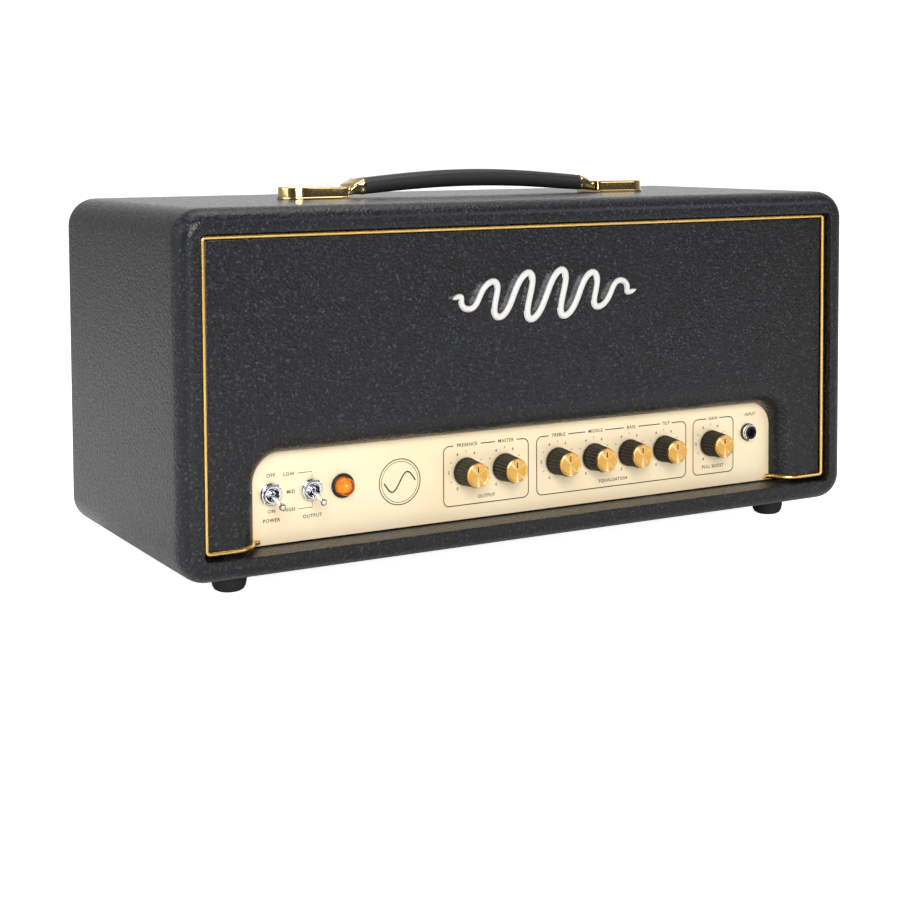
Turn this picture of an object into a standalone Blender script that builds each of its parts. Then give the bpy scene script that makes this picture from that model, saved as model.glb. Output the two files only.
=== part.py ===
"""Valve guitar amplifier head: a vinyl-covered cabinet with its chassis, controls and handle.

Frame: +X to the right seen from the front, the front faces -Y, +Z up.
Origin: on the floor, under the centre of the cabinet. Units: metres.
"""
from math import asin, cos, pi, radians, sin

import bmesh
import bpy

MM = 0.001
GAP = 0.3 * MM

# Cabinet
CABINET_WIDTH = 520 * MM
CABINET_HEIGHT = 228 * MM
CABINET_DEPTH = 224 * MM
FOOT_HEIGHT = 13 * MM
FOOT_X = 216.2 * MM
FOOT_Y = 76.5 * MM
WALL = 14.5 * MM
TOP_WALL = 15.9 * MM
CORNER_RADIUS = 19 * MM
EDGE_INSET = 10 * MM
FRONT_ROUND_DEPTH = 14 * MM
BACK_ROUND_DEPTH = 12 * MM
BOTTOM = FOOT_HEIGHT
TOP = BOTTOM + CABINET_HEIGHT
FRONT = -CABINET_DEPTH / 2
BACK = CABINET_DEPTH / 2
INNER_HALF = CABINET_WIDTH / 2 - WALL
FLOOR = BOTTOM + WALL
CEILING = TOP - TOP_WALL

# Front baffle, its cut-out and the piping round it
BAFFLE_RECESS = 6.5 * MM
BAFFLE_THICKNESS = 16 * MM
BAFFLE_FRONT = FRONT + BAFFLE_RECESS
BAFFLE_BACK = BAFFLE_FRONT + BAFFLE_THICKNESS
CUTOUT_HALF = 206.5 * MM
CUTOUT_TOP = 86.7 * MM
CUTOUT_CORNER = 18 * MM
PIPING_RADIUS = 1.5 * MM
PIPING_HALF_WIDTH = 242.5 * MM
PIPING_LOW = 31.3 * MM
PIPING_HIGH = 223.3 * MM
PIPING_CORNER = 2.2 * MM
PIPING_Y = BAFFLE_FRONT - 0.5 * MM

# Control panel and chassis, stacked behind the baffle
PANEL_Y = BAFFLE_BACK + GAP
PANEL_THICKNESS = 1.5 * MM
PANEL_HALF = 225 * MM
PANEL_LOW = 28.4 * MM
PANEL_HIGH = 93.5 * MM
SHEET = 1.2 * MM
CHASSIS_FRONT_Y = PANEL_Y + PANEL_THICKNESS + GAP
CHASSIS_REAR_Y = 93 * MM
CHASSIS_HALF = 222 * MM
DECK_TOP = 92 * MM
BEHIND_PANEL = -(PANEL_THICKNESS + SHEET + 2 * GAP)

# Controls: places across the panel, all on one height
CONTROL_Z = 60.6 * MM
SWITCHES = {"power": -193.2 * MM, "output": -165.3 * MM}
LAMP_X = -143 * MM
KNOBS = {
    "presence": -52.5 * MM,
    "master": -22.5 * MM,
    "treble": 20 * MM,
    "middle": 50 * MM,
    "bass": 80 * MM,
    "tilt": 110 * MM,
    "gain": 152 * MM,
}
JACK_X = 186.5 * MM
JACK_Z = 65.5 * MM
BUSHING_HOLES = {"switch": 6.1 * MM, "lamp": 7.1 * MM, "pot": 4.7 * MM, "jack": 4.9 * MM}
LEVER_PIVOT = 0.8 * MM
LEVER_TILT = radians(15)
KNOB_FLUTES = 18
ROUND_STEPS = 16

# Rear connectors
INLET_X = 170 * MM
SPEAKER_JACK_X = -60 * MM
REAR_Z = 60 * MM
INLET_WINDOW = (14 * MM, 10.5 * MM)
JACK_WINDOW = (13 * MM, 9 * MM)
JACK_PLATE = (18 * MM, 13 * MM)

# Rear cover
REAR_COVER_Y = 97 * MM
REAR_SPLIT_Z = 168 * MM

# Handle
HANDLE_Y = -6 * MM
BRACKET_INNER = 102.5 * MM
BRACKET_HALF = 13.5 * MM
BRACKET_HEIGHT = 8 * MM
STRAP_END = 88.3 * MM
STRAP_HALF = 13 * MM
STRAP_LOW = {"end": TOP + 2.4 * MM, "middle": TOP + 6.6 * MM}
STRAP_HIGH = {"end": TOP + 13.4 * MM, "middle": TOP + 18.6 * MM}


def clear_scene():
    for obj in list(bpy.data.objects):
        bpy.data.objects.remove(obj)


def make_material(name, colour, roughness, metallic=0.0):
    material = bpy.data.materials.new(name)
    material.use_nodes = True
    shader = material.node_tree.nodes["Principled BSDF"]
    shader.inputs["Base Color"].default_value = (*colour, 1.0)
    shader.inputs["Roughness"].default_value = roughness
    shader.inputs["Metallic"].default_value = metallic
    material.diffuse_color = (*colour, 1.0)
    return material


def add_object(name, bm, material, location=(0, 0, 0), rotation=(0, 0, 0), smooth_angle=40):
    bmesh.ops.recalc_face_normals(bm, faces=bm.faces)
    mesh = bpy.data.meshes.new(name)
    bm.to_mesh(mesh)
    bm.free()
    mesh.materials.append(material)
    mesh.shade_smooth()
    mesh.set_sharp_from_angle(angle=radians(smooth_angle))
    obj = bpy.data.objects.new(name, mesh)
    obj.location = location
    obj.rotation_euler = rotation
    bpy.context.collection.objects.link(obj)
    return obj


def add_cutter(name, bm, **placing):
    cutter = add_object(name, bm, MATERIALS["steel"], **placing)
    cutter.hide_render = True
    cutter.display_type = "WIRE"
    return cutter


def combine(obj, other, operation):
    modifier = obj.modifiers.new(operation.lower(), "BOOLEAN")
    modifier.operation = operation
    modifier.object = other


def loft(rings):
    """A closed solid through rings of points, each with the same number, capped at both ends."""
    bm = bmesh.new()
    loops = [[bm.verts.new(point) for point in ring] for ring in rings]
    for near, far in zip(loops, loops[1:]):
        for index in range(len(near)):
            after = (index + 1) % len(near)
            bm.faces.new((near[index], near[after], far[after], far[index]))
    bm.faces.new(loops[0])
    bm.faces.new(list(reversed(loops[-1])))
    return bm


def block(low, high):
    (x0, y0, z0), (x1, y1, z1) = low, high
    outline = ((x0, y0), (x1, y0), (x1, y1), (x0, y1))
    return loft([[(x, y, z) for x, y in outline] for z in (z0, z1)])


def turn(profile, closed=False, steps=ROUND_STEPS):
    """Turn (radius, height) points about Z. A closed profile makes a ring with a bore."""
    bm = bmesh.new()
    verts = [bm.verts.new((radius, 0, height)) for radius, height in profile]
    edges = [bm.edges.new(pair) for pair in zip(verts, verts[1:])]
    if closed:
        edges.append(bm.edges.new((verts[-1], verts[0])))
    bmesh.ops.spin(bm, geom=verts + edges, axis=(0, 0, 1), cent=(0, 0, 0), angle=2 * pi, steps=steps)
    bmesh.ops.remove_doubles(bm, verts=bm.verts, dist=0.001 * MM)
    return bm


def angles(start, end, steps):
    return [start + (end - start) * step / steps for step in range(steps + 1)]


def scaled(points):
    """Turns points written in millimetres into metres."""
    return [(first * MM, second * MM) for first, second in points]


def on_panel(x, z=CONTROL_Z):
    """Placing for a part built with its own +Z pointing out of the control panel's face."""
    return {"location": (x, PANEL_Y, z), "rotation": (pi / 2, 0, 0)}


# ---------------------------------------------------------------- cabinet

def depth_profile():
    """(y, inset) pairs: the outside shrinks by the inset towards the rounded front and back."""
    quarter = angles(0, pi / 2, 4)
    front = [(FRONT + FRONT_ROUND_DEPTH * (1 - cos(a)), EDGE_INSET * (1 - sin(a))) for a in quarter]
    back = [(BACK - BACK_ROUND_DEPTH * (1 - cos(a)), EDGE_INSET * (1 - sin(a))) for a in reversed(quarter)]
    return front + back


def corner_angle(level, radius):
    """Angle on the cabinet's corner arc where it is this far above the arc's centre."""
    return asin(level / radius)


def horizontal_board(name, upper):
    """The top or the bottom board, as wide as the cabinet, with its rounded outer corners."""
    centre_x = CABINET_WIDTH / 2 - CORNER_RADIUS
    centre_z = CABINET_HEIGHT / 2 - CORNER_RADIUS
    level = CORNER_RADIUS - (TOP_WALL if upper else WALL) + GAP / 2
    middle = (TOP + BOTTOM) / 2
    side = 1 if upper else -1
    rings = []
    for y, inset in depth_profile():
        radius = CORNER_RADIUS - inset
        arc = angles(corner_angle(level, radius), pi / 2, 4)
        right = [(centre_x + radius * cos(a), centre_z + radius * sin(a)) for a in arc]
        outline = right + [(-x, z) for x, z in reversed(right)]
        rings.append([(x, y, middle + side * z) for x, z in outline])
    return add_object(name, loft(rings), MATERIALS["vinyl"])


def side_board(name, side):
    """A side board, standing between the top and bottom boards."""
    centre_x = CABINET_WIDTH / 2 - CORNER_RADIUS
    centre_z = CABINET_HEIGHT / 2 - CORNER_RADIUS
    middle = (TOP + BOTTOM) / 2

    def half_outline(wall, radius):
        """From the side's middle round the outer corner as far as the next board, and back inside."""
        level = CORNER_RADIUS - wall - GAP / 2
        arc = angles(0, corner_angle(level, radius), 2)
        outer = [(centre_x + radius * cos(a), centre_z + radius * sin(a)) for a in arc]
        return outer + [(INNER_HALF, centre_z + level)]
    rings = []
    for y, inset in depth_profile():
        upper = half_outline(TOP_WALL, CORNER_RADIUS - inset)
        lower = [(x, -z) for x, z in reversed(half_outline(WALL, CORNER_RADIUS - inset))]
        rings.append([(side * x, y, middle + z) for x, z in lower + upper])
    return add_object(name, loft(rings), MATERIALS["vinyl"])


def make_cabinet():
    horizontal_board("cabinet_top", upper=True)
    horizontal_board("cabinet_bottom", upper=False)
    side_board("cabinet_left", -1)
    side_board("cabinet_right", 1)


def make_feet():
    """Round feet, bowl-shaped towards the floor, with a flat tread."""
    profile = scaled([(0, 0), (7.2, 0), (9.4, 1.2), (10.5, 3.2), (11.2, 6.5), (11.4, 9.5), (11.4, 12.7),
                      (0, 12.7)])
    for depth_name, y in (("front", -FOOT_Y), ("rear", FOOT_Y)):
        for side_name, x in (("left", -FOOT_X), ("right", FOOT_X)):
            add_object(f"foot_{depth_name}_{side_name}", turn(profile), MATERIALS["rubber"], (x, y, 0))


# ---------------------------------------------------------------- baffle, piping, badge

def make_baffle():
    """A board with an open-bottomed cut-out whose front edge is rounded over its full thickness."""
    half = PIPING_HALF_WIDTH - PIPING_RADIUS - GAP
    low = PIPING_LOW + PIPING_RADIUS + GAP
    high = PIPING_HIGH - PIPING_RADIUS - GAP
    rings = []
    for a in angles(0, pi / 2, 5):
        y = BAFFLE_FRONT + BAFFLE_THICKNESS * (1 - cos(a))
        spread = BAFFLE_THICKNESS * (1 - sin(a))
        radius = CUTOUT_CORNER + spread
        centre_x = CUTOUT_HALF - CUTOUT_CORNER
        centre_z = CUTOUT_TOP - CUTOUT_CORNER
        corner = [(centre_x + radius * cos(b), centre_z + radius * sin(b)) for b in angles(0, pi / 2, 5)]
        right = [(half, high), (half, low), (centre_x + radius, low)] + corner
        outline = right + [(-x, z) for x, z in reversed(right)]
        rings.append([(x, y, z) for x, z in outline])
    add_object("front_baffle", loft(rings), MATERIALS["vinyl"])


def make_battens():
    for name, side in (("baffle_batten_left", -1), ("baffle_batten_right", 1)):
        edges = sorted((side * 226.7 * MM, side * (INNER_HALF - GAP)))
        low = (edges[0], PANEL_Y, FLOOR + 1 * MM)
        high = (edges[1], PANEL_Y + 20 * MM, CEILING - 1 * MM)
        add_object(name, block(low, high), MATERIALS["timber"])


def tube(name, points, radius, sides_level, material):
    curve = bpy.data.curves.new(name, "CURVE")
    curve.dimensions = "3D"
    curve.bevel_depth = radius
    curve.bevel_resolution = sides_level
    curve.use_fill_caps = True
    spline = curve.splines.new("POLY")
    spline.points.add(len(points) - 1)
    for target, point in zip(spline.points, points):
        target.co = (*point, 1)
    curve.materials.append(material)
    obj = bpy.data.objects.new(name, curve)
    bpy.context.collection.objects.link(obj)
    return obj


def make_piping():
    """A bead that starts on the panel, rounds the right leg, runs round the baffle and ends mirrored."""
    tail_y = PANEL_Y - PIPING_RADIUS - GAP
    bend = 2.5 * MM
    lead_centre = CUTOUT_HALF + BAFFLE_THICKNESS
    lead_depth = BAFFLE_BACK - PIPING_Y
    rise = asin((BAFFLE_BACK - tail_y + bend) / lead_depth)
    bend_x = lead_centre - BAFFLE_THICKNESS * cos(rise) - bend
    tail = [(CUTOUT_HALF - 5 * MM, tail_y, PIPING_LOW)]
    tail += [(bend_x + bend * sin(a), tail_y - bend * (1 - cos(a)), PIPING_LOW)
             for a in angles(0, pi / 2, 3)]
    lead = [(lead_centre - BAFFLE_THICKNESS * cos(a), BAFFLE_BACK - lead_depth * sin(a), PIPING_LOW)
            for a in angles(rise, pi / 2, 5)[1:]]
    corner_x = PIPING_HALF_WIDTH - PIPING_CORNER
    lower = [(corner_x + PIPING_CORNER * sin(a), PIPING_Y, PIPING_LOW + PIPING_CORNER * (1 - cos(a)))
             for a in angles(0, pi / 2, 4)]
    upper = [(corner_x + PIPING_CORNER * cos(a), PIPING_Y, PIPING_HIGH - PIPING_CORNER * (1 - sin(a)))
             for a in angles(0, pi / 2, 4)]
    right = tail + lead + lower + upper
    left = [(-x, y, z) for x, y, z in reversed(right)]
    tube("front_piping", right + left, PIPING_RADIUS, 2, MATERIALS["brass"])


def make_badge():
    """A raised flourish: a slanted wave that swells towards its middle."""
    middle_z = 177.5 * MM
    half_length, swing, slant, waves, roundness = 72 * MM, 16 * MM, 0.35, 5.5, 0.35
    radius = 2.3 * MM
    points = []
    for t in angles(-1, 1, 88):
        turned = t * waves * pi
        height = swing * max(cos(t * pi / 2), 0) ** 0.7 * sin(turned)
        x = half_length * (t - roundness * sin(2 * turned) / (waves * pi)) + slant * height
        points.append((x, BAFFLE_FRONT - GAP - radius, middle_z + height))
    tube("badge", points, radius, 1, MATERIALS["cream_plastic"])


# ---------------------------------------------------------------- control panel and chassis

def control_hole_cutter():
    """One cutter with a round bar through every control's place on the front."""
    places = [(x, CONTROL_Z, BUSHING_HOLES["switch"]) for x in SWITCHES.values()]
    places += [(x, CONTROL_Z, BUSHING_HOLES["pot"]) for x in KNOBS.values()]
    places += [(LAMP_X, CONTROL_Z, BUSHING_HOLES["lamp"]), (JACK_X, JACK_Z, BUSHING_HOLES["jack"])]
    bm = bmesh.new()
    for x, z, radius in places:
        add_bar(bm, x, z, radius)
    return add_cutter("control_holes", bm, location=(0, PANEL_Y, 0))


def add_bar(bm, x, z, radius):
    rings = []
    for y in (-10 * MM, 10 * MM):
        turns = angles(0, 2 * pi, ROUND_STEPS)[:-1]
        rings.append([bm.verts.new((x + radius * cos(a), y, z + radius * sin(a))) for a in turns])
    for index in range(ROUND_STEPS):
        after = (index + 1) % ROUND_STEPS
        bm.faces.new((rings[0][index], rings[0][after], rings[1][after], rings[1][index]))
    bm.faces.new(rings[0])
    bm.faces.new(list(reversed(rings[1])))


def make_panel_and_chassis():
    holes = control_hole_cutter()
    panel = add_object(
        "control_panel",
        block((-PANEL_HALF, PANEL_Y, PANEL_LOW), (PANEL_HALF, PANEL_Y + PANEL_THICKNESS, PANEL_HIGH)),
        MATERIALS["gold_panel"])
    combine(panel, holes, "DIFFERENCE")
    wall_top = DECK_TOP - SHEET - GAP
    wall_bottom = FLOOR + GAP

    def wall(name, y):
        sheet = block((-CHASSIS_HALF, y, wall_bottom), (CHASSIS_HALF, y + SHEET, wall_top))
        return add_object(name, sheet, MATERIALS["black_steel"])
    front = wall("chassis_front", CHASSIS_FRONT_Y)
    combine(front, holes, "DIFFERENCE")
    rear = wall("chassis_rear", CHASSIS_REAR_Y - SHEET)
    for name, x, (half_width, half_height) in (("inlet_hole", INLET_X, INLET_WINDOW),
                                               ("speaker_jack_hole", SPEAKER_JACK_X, JACK_WINDOW)):
        window = block((-half_width, -10 * MM, -half_height), (half_width, 10 * MM, half_height))
        combine(rear, add_cutter(name, window, location=(x, CHASSIS_REAR_Y, REAR_Z)), "DIFFERENCE")
    add_object(
        "chassis_deck",
        block((-CHASSIS_HALF, CHASSIS_FRONT_Y, DECK_TOP - SHEET), (CHASSIS_HALF, CHASSIS_REAR_Y, DECK_TOP)),
        MATERIALS["steel"])
    add_object(
        "main_board",
        block((-210 * MM, -72 * MM, 50 * MM), (210 * MM, 60 * MM, 51.6 * MM)),
        MATERIALS["circuit_board"])


# ---------------------------------------------------------------- controls

def make_switch(name, x):
    """A toggle switch: threaded bushing with a socket for the lever's ball, and a body behind."""
    back = BEHIND_PANEL / MM
    bushing = scaled([(0, -8), (5.8, -8), (5.8, 4.8), (4.1, 4.8), (4.1, -3.2), (0, -3.2)])
    body = add_object(f"{name}_switch", turn(bushing), MATERIALS["chrome"], **on_panel(x))
    can = block((-6.5 * MM, -8.5 * MM, -25 * MM), (6.5 * MM, 8.5 * MM, back * MM))
    combine(body, add_cutter(f"{name}_switch_can", can, **on_panel(x)), "UNION")
    nut = scaled([(6.1, 0.3), (7.5, 0.3), (7.5, 2.7), (7.1, 3.5), (6.1, 3.5)])
    add_object(f"{name}_switch_nut", turn(nut, closed=True), MATERIALS["chrome"], **on_panel(x))
    make_lever(name, x)


def make_lever(name, x):
    """The lever turns about its ball's centre and rests tilted down."""
    ball, stem, tip, tip_at = 3.5 * MM, 1.6 * MM, 2.3 * MM, 19 * MM
    neck = asin(stem / ball)
    tip_neck = asin(stem / tip)
    profile = [(ball * sin(a), -ball * cos(a)) for a in angles(0, pi - neck, 6)]
    profile += [(tip * sin(a), tip_at - tip * cos(a)) for a in angles(tip_neck, pi, 6)]
    add_object(f"{name}_lever", turn(profile, steps=12), MATERIALS["chrome"],
               (x, PANEL_Y - LEVER_PIVOT, CONTROL_Z), (pi / 2 + LEVER_TILT, 0, 0))


def make_lamp():
    bezel = scaled([(0, -20), (6.8, -20), (6.8, 0.3), (8, 0.3), (8, 1.8), (7.4, 2.6), (6.05, 2.6),
                    (6.05, -6), (0, -6)])
    add_object("lamp_bezel", turn(bezel), MATERIALS["black_plastic"], **on_panel(LAMP_X))
    dome = [(5.75 * MM * cos(a), 5.4 * MM + 5.7 * MM * sin(a)) for a in angles(0, pi / 2, 5)]
    add_object("lamp_lens", turn(scaled([(0, -5.7), (5.75, -5.7)]) + dome), MATERIALS["amber"],
               **on_panel(LAMP_X))


def make_pot(name, x):
    back = BEHIND_PANEL / MM
    front = [(8, back), (4.4, back), (4.4, 1.2), (3.15, 1.2)]
    if name == "gain":
        bm = turn(scaled([(8, -30)] + front + [(3.15, -30)]), closed=True)
    else:
        bm = turn(scaled([(0, -14), (8, -14)] + front + [(3.15, -11), (0, -11)]))
    add_object(f"{name}_pot", bm, MATERIALS["steel"], **on_panel(x))


def make_knob(name, x):
    """A fluted tapered knob with a flat cap, made in one with the shaft that it is pressed on."""
    def ring(radius, height, flute=0.0):
        turns = angles(0, 2 * pi, 2 * KNOB_FLUTES)[:-1]
        radii = [radius - flute * (index % 2) for index in range(2 * KNOB_FLUTES)]
        return [(r * MM * cos(a), r * MM * sin(a), height * MM) for r, a in zip(radii, turns)]
    rings = [ring(3, -10.7), ring(3, 1.5), ring(9.5, 1.5, 0.5), ring(8.3, 16.4, 0.5), ring(8, 16.7),
             ring(7.9, 18.2)]
    add_object(f"{name}_knob", loft(rings), MATERIALS["black_plastic"], **on_panel(x))


def make_controls():
    for name, x in SWITCHES.items():
        make_switch(name, x)
    make_lamp()
    for name, x in KNOBS.items():
        make_pot(name, x)
        make_knob(name, x)
    plunger = scaled([(0, -36), (2.6, -36), (2.6, -11), (0, -11)])
    add_object("gain_plunger", turn(plunger, steps=12), MATERIALS["steel"], **on_panel(KNOBS["gain"]))


def make_jack(name, placing):
    """A quarter-inch jack: flanged bushing with an open socket, and a body behind. Returns the jack."""
    back = BEHIND_PANEL / MM
    bushing = scaled([(0, -24), (4.6, -24), (4.6, 0.3), (6.35, 0.3), (6.35, 1.8), (4.6, 2.2), (4.6, 5),
                      (3.3, 5), (3.3, -22), (0, -22)])
    jack = add_object(name, turn(bushing), MATERIALS["black_plastic"], **placing)
    body = block((-8.5 * MM, -8.5 * MM, -26 * MM), (8.5 * MM, 8.5 * MM, back * MM))
    core = turn(scaled([(0, -22), (3.3, -22), (3.3, 0), (0, 0)]))
    shell = add_cutter(f"{name}_shell", body, **placing)
    combine(shell, add_cutter(f"{name}_core", core, **placing), "DIFFERENCE")
    combine(jack, shell, "UNION")
    return jack


def make_jacks():
    make_jack("input_jack", on_panel(JACK_X, JACK_Z))
    nut = scaled([(4.85, 2.5), (5.9, 2.5), (5.9, 4.2), (5.5, 4.6), (4.85, 4.6)])
    add_object("input_jack_nut", turn(nut, closed=True), MATERIALS["chrome"], **on_panel(JACK_X, JACK_Z))
    rear = {"location": (SPEAKER_JACK_X, CHASSIS_REAR_Y, REAR_Z), "rotation": (-pi / 2, 0, 0)}
    jack = make_jack("speaker_jack", rear)
    half_width, half_height = JACK_PLATE
    sheet = block((-half_width, -half_height, 0.4 * MM), (half_width, half_height, 2.1 * MM))
    plate = add_cutter("speaker_jack_plate", sheet, **rear)
    bore = turn(scaled([(0, -1), (4, -1), (4, 4), (0, 4)]))
    combine(plate, add_cutter("speaker_jack_plate_bore", bore, **rear), "DIFFERENCE")
    combine(jack, plate, "UNION")


def make_inlet():
    """A mains inlet: flanged body with an open recess, seen from behind."""
    def ring(half_width, half_height, y):
        corners = ((-1, -1), (1, -1), (1, 1), (-1, 1))
        return [(INLET_X + sx * half_width * MM, CHASSIS_REAR_Y + y * MM, REAR_Z + sz * half_height * MM)
                for sx, sz in corners]
    rings = [ring(13.6, 10.1, -22), ring(13.6, 10.1, 0.3), ring(16, 13, 0.3), ring(16, 13, 3),
             ring(12.2, 8.2, 3), ring(12.2, 8.2, -15)]
    add_object("mains_inlet", loft(rings), MATERIALS["black_plastic"])


# ---------------------------------------------------------------- on the deck

def make_transformer(name, x, y, width, height, core_depth, bell):
    """A laminated core between two smaller end bells, standing on the deck."""
    base = DECK_TOP + GAP
    middle = base + height / 2

    def ring(half_width, half_height, depth):
        corners = ((-1, -1), (1, -1), (1, 1), (-1, 1))
        return [(x + sx * half_width, y + depth, middle + sz * half_height) for sx, sz in corners]
    half, tall, deep = width / 2, height / 2, core_depth / 2
    small, low = half * 0.8, tall * 0.72
    rings = [ring(small * 0.8, low * 0.8, -deep - bell), ring(small, low, -deep - bell * 0.6),
             ring(small, low, -deep), ring(half, tall, -deep), ring(half, tall, deep),
             ring(small, low, deep), ring(small, low, deep + bell * 0.6),
             ring(small * 0.8, low * 0.8, deep + bell)]
    add_object(name, loft(rings), MATERIALS["black_steel"])


def make_valve(name, x, y, radius, height, base_height):
    """A glass valve in its socket: base, straight glass, dome and sealing tip."""
    dome = radius * 0.7
    shoulder = height - dome - 4 * MM
    profile = [(0, 0), (radius + 2 * MM, 0), (radius + 2 * MM, base_height), (radius, base_height + 1 * MM)]
    profile += [(radius * cos(a), shoulder + dome * sin(a)) for a in angles(0, radians(70), 4)]
    profile += [(1.5 * MM, height), (0, height)]
    add_object(name, turn(profile), MATERIALS["glass"], (x, y, DECK_TOP + GAP))


def make_deck_parts():
    make_transformer("mains_transformer", -160 * MM, 15 * MM, 84 * MM, 72 * MM, 36 * MM, 18 * MM)
    make_transformer("output_transformer", -60 * MM, 15 * MM, 68 * MM, 58 * MM, 30 * MM, 15 * MM)
    for index, x in enumerate((60, 105)):
        make_valve(f"power_valve_{index + 1}", x * MM, 40 * MM, 16.5 * MM, 96 * MM, 18 * MM)
    for index, x in enumerate((145, 175, 205)):
        make_valve(f"preamp_valve_{index + 1}", x * MM, 20 * MM, 10.5 * MM, 54 * MM, 6 * MM)
    can = scaled([(0, 0), (17, 0), (17, 44), (16, 45), (0, 45)])
    add_object("filter_capacitor", turn(can), MATERIALS["aluminium"], (10 * MM, 30 * MM, DECK_TOP + GAP))


# ---------------------------------------------------------------- rear cover

def make_rear_cover():
    half = INNER_HALF - 0.5 * MM
    low = (-half, REAR_COVER_Y, REAR_SPLIT_Z + GAP)
    high = (half, REAR_COVER_Y + 12 * MM, CEILING - 0.5 * MM)
    add_object("rear_panel", block(low, high), MATERIALS["vinyl"])
    grille = add_object(
        "vent_grille",
        block((-half, REAR_COVER_Y, DECK_TOP + 3 * MM), (half, REAR_COVER_Y + 1.5 * MM, REAR_SPLIT_Z)),
        MATERIALS["black_steel"])
    columns, pitch = 20, 23 * MM
    bm = bmesh.new()
    for row_z in (114 * MM, 148 * MM):
        for column in range(columns):
            x = (column - (columns - 1) / 2) * pitch
            add_slot(bm, x, row_z, 3.5 * MM, 12 * MM)
    combine(grille, add_cutter("vent_slots", bm, location=(0, REAR_COVER_Y, 0)), "DIFFERENCE")


def add_slot(bm, x, z, half_width, half_height):
    bars = bmesh.ops.create_cube(bm, size=2)["verts"]
    bmesh.ops.scale(bm, vec=(half_width, 10 * MM, half_height), verts=bars)
    bmesh.ops.translate(bm, vec=(x, 0, z), verts=bars)


# ---------------------------------------------------------------- handle

def bracket_ring(side, x, half_width):
    lip, lip_height, edge = 1.5 * MM, 1.2 * MM, 1.5 * MM
    right = [(half_width + lip, 0), (half_width + lip, lip_height), (half_width, lip_height),
             (half_width, BRACKET_HEIGHT - edge), (half_width - edge, BRACKET_HEIGHT)]
    return placed_section(side, x, right)


def placed_section(side, x, right):
    outline = right + [(-y, z) for y, z in reversed(right)]
    return [(side * x, HANDLE_Y + y, TOP + GAP + z) for y, z in outline]


def make_bracket(name, side):
    """A gold end cap: flat inner end with a pocket for the strap's tongue, round outer end."""
    floor, ceiling, half = 1.6 * MM, 6.4 * MM, 11.2 * MM
    levels = (floor, floor + 1 * MM, (floor + ceiling) / 2, ceiling - 1 * MM, ceiling)
    pocket = [(half, z) for z in levels]
    end_centre = BRACKET_INNER + 32.5 * MM
    rings = [placed_section(side, x, pocket) for x in (BRACKET_INNER + 20 * MM, BRACKET_INNER)]
    rings.append(bracket_ring(side, BRACKET_INNER, BRACKET_HALF))
    for a in angles(0, radians(78), 5):
        rings.append(bracket_ring(side, end_centre + BRACKET_HALF * sin(a), BRACKET_HALF * cos(a)))
    add_object(name, loft(rings), MATERIALS["brass"])


def arched(heights, x):
    """Height of one of the strap's faces here: an arch, highest in the middle."""
    return heights["end"] + (heights["middle"] - heights["end"]) * cos(x / STRAP_END * pi / 2)


def rounded_section(x, low, high, half, edge):
    """A chamfered rectangle across the handle at this place."""
    right = [(half - edge, low), (half, low + edge), (half, high - edge), (half - edge, high)]
    outline = right + [(-y, z) for y, z in reversed(right)]
    return [(x, HANDLE_Y + y, z) for y, z in outline]


def make_strap():
    rings = []
    for x in angles(-STRAP_END, STRAP_END, 16):
        rings.append(rounded_section(x, arched(STRAP_LOW, x), arched(STRAP_HIGH, x), STRAP_HALF, 2.5 * MM))
    add_object("handle_strap", loft(rings), MATERIALS["rubber"], smooth_angle=60)


def make_ferrule(name, side):
    """A sleeve over the strap's end that narrows to the tongue held in the bracket's pocket."""
    base = TOP + GAP
    tongue_low, tongue_high = base + 2.0 * MM, base + 4.0 * MM
    strap_low, strap_high = STRAP_LOW["end"], STRAP_HIGH["end"]
    sections = [
        (STRAP_END + GAP, strap_low + 0.3 * MM, strap_high - 0.3 * MM, 12.2 * MM, 2 * MM),
        (STRAP_END + 6 * MM, strap_low, strap_high - 2.4 * MM, 11.6 * MM, 1.6 * MM),
        (BRACKET_INNER - 3 * MM, tongue_low, tongue_high + 1.2 * MM, 10.4 * MM, 0.8 * MM),
        (BRACKET_INNER - 0.5 * MM, tongue_low, tongue_high, 10.2 * MM, 0.5 * MM),
        (BRACKET_INNER + 17 * MM, tongue_low, tongue_high, 10.2 * MM, 0.5 * MM),
    ]
    rings = [rounded_section(side * x, low, high, half, edge) for x, low, high, half, edge in sections]
    add_object(name, loft(rings), MATERIALS["brass"])


def make_handle():
    make_strap()
    for side_name, side in (("left", -1), ("right", 1)):
        make_bracket(f"handle_bracket_{side_name}", side)
        make_ferrule(f"handle_ferrule_{side_name}", side)


MATERIALS = {}


def make_materials():
    looks = {
        "vinyl": ((0.022, 0.023, 0.025), 0.55, 0.0),
        "timber": ((0.32, 0.20, 0.11), 0.7, 0.0),
        "rubber": ((0.015, 0.015, 0.016), 0.6, 0.0),
        "brass": ((0.80, 0.55, 0.20), 0.25, 1.0),
        "gold_panel": ((0.86, 0.74, 0.48), 0.35, 1.0),
        "cream_plastic": ((0.86, 0.84, 0.78), 0.4, 0.0),
        "chrome": ((0.75, 0.76, 0.78), 0.12, 1.0),
        "steel": ((0.55, 0.56, 0.57), 0.4, 1.0),
        "black_steel": ((0.03, 0.03, 0.03), 0.5, 0.3),
        "aluminium": ((0.7, 0.71, 0.72), 0.35, 1.0),
        "black_plastic": ((0.018, 0.017, 0.017), 0.35, 0.0),
        "amber": ((0.85, 0.25, 0.02), 0.12, 0.0),
        "glass": ((0.55, 0.55, 0.55), 0.08, 0.0),
        "circuit_board": ((0.06, 0.20, 0.10), 0.5, 0.0),
    }
    for name, (colour, roughness, metallic) in looks.items():
        MATERIALS[name] = make_material(name, colour, roughness, metallic)


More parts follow.
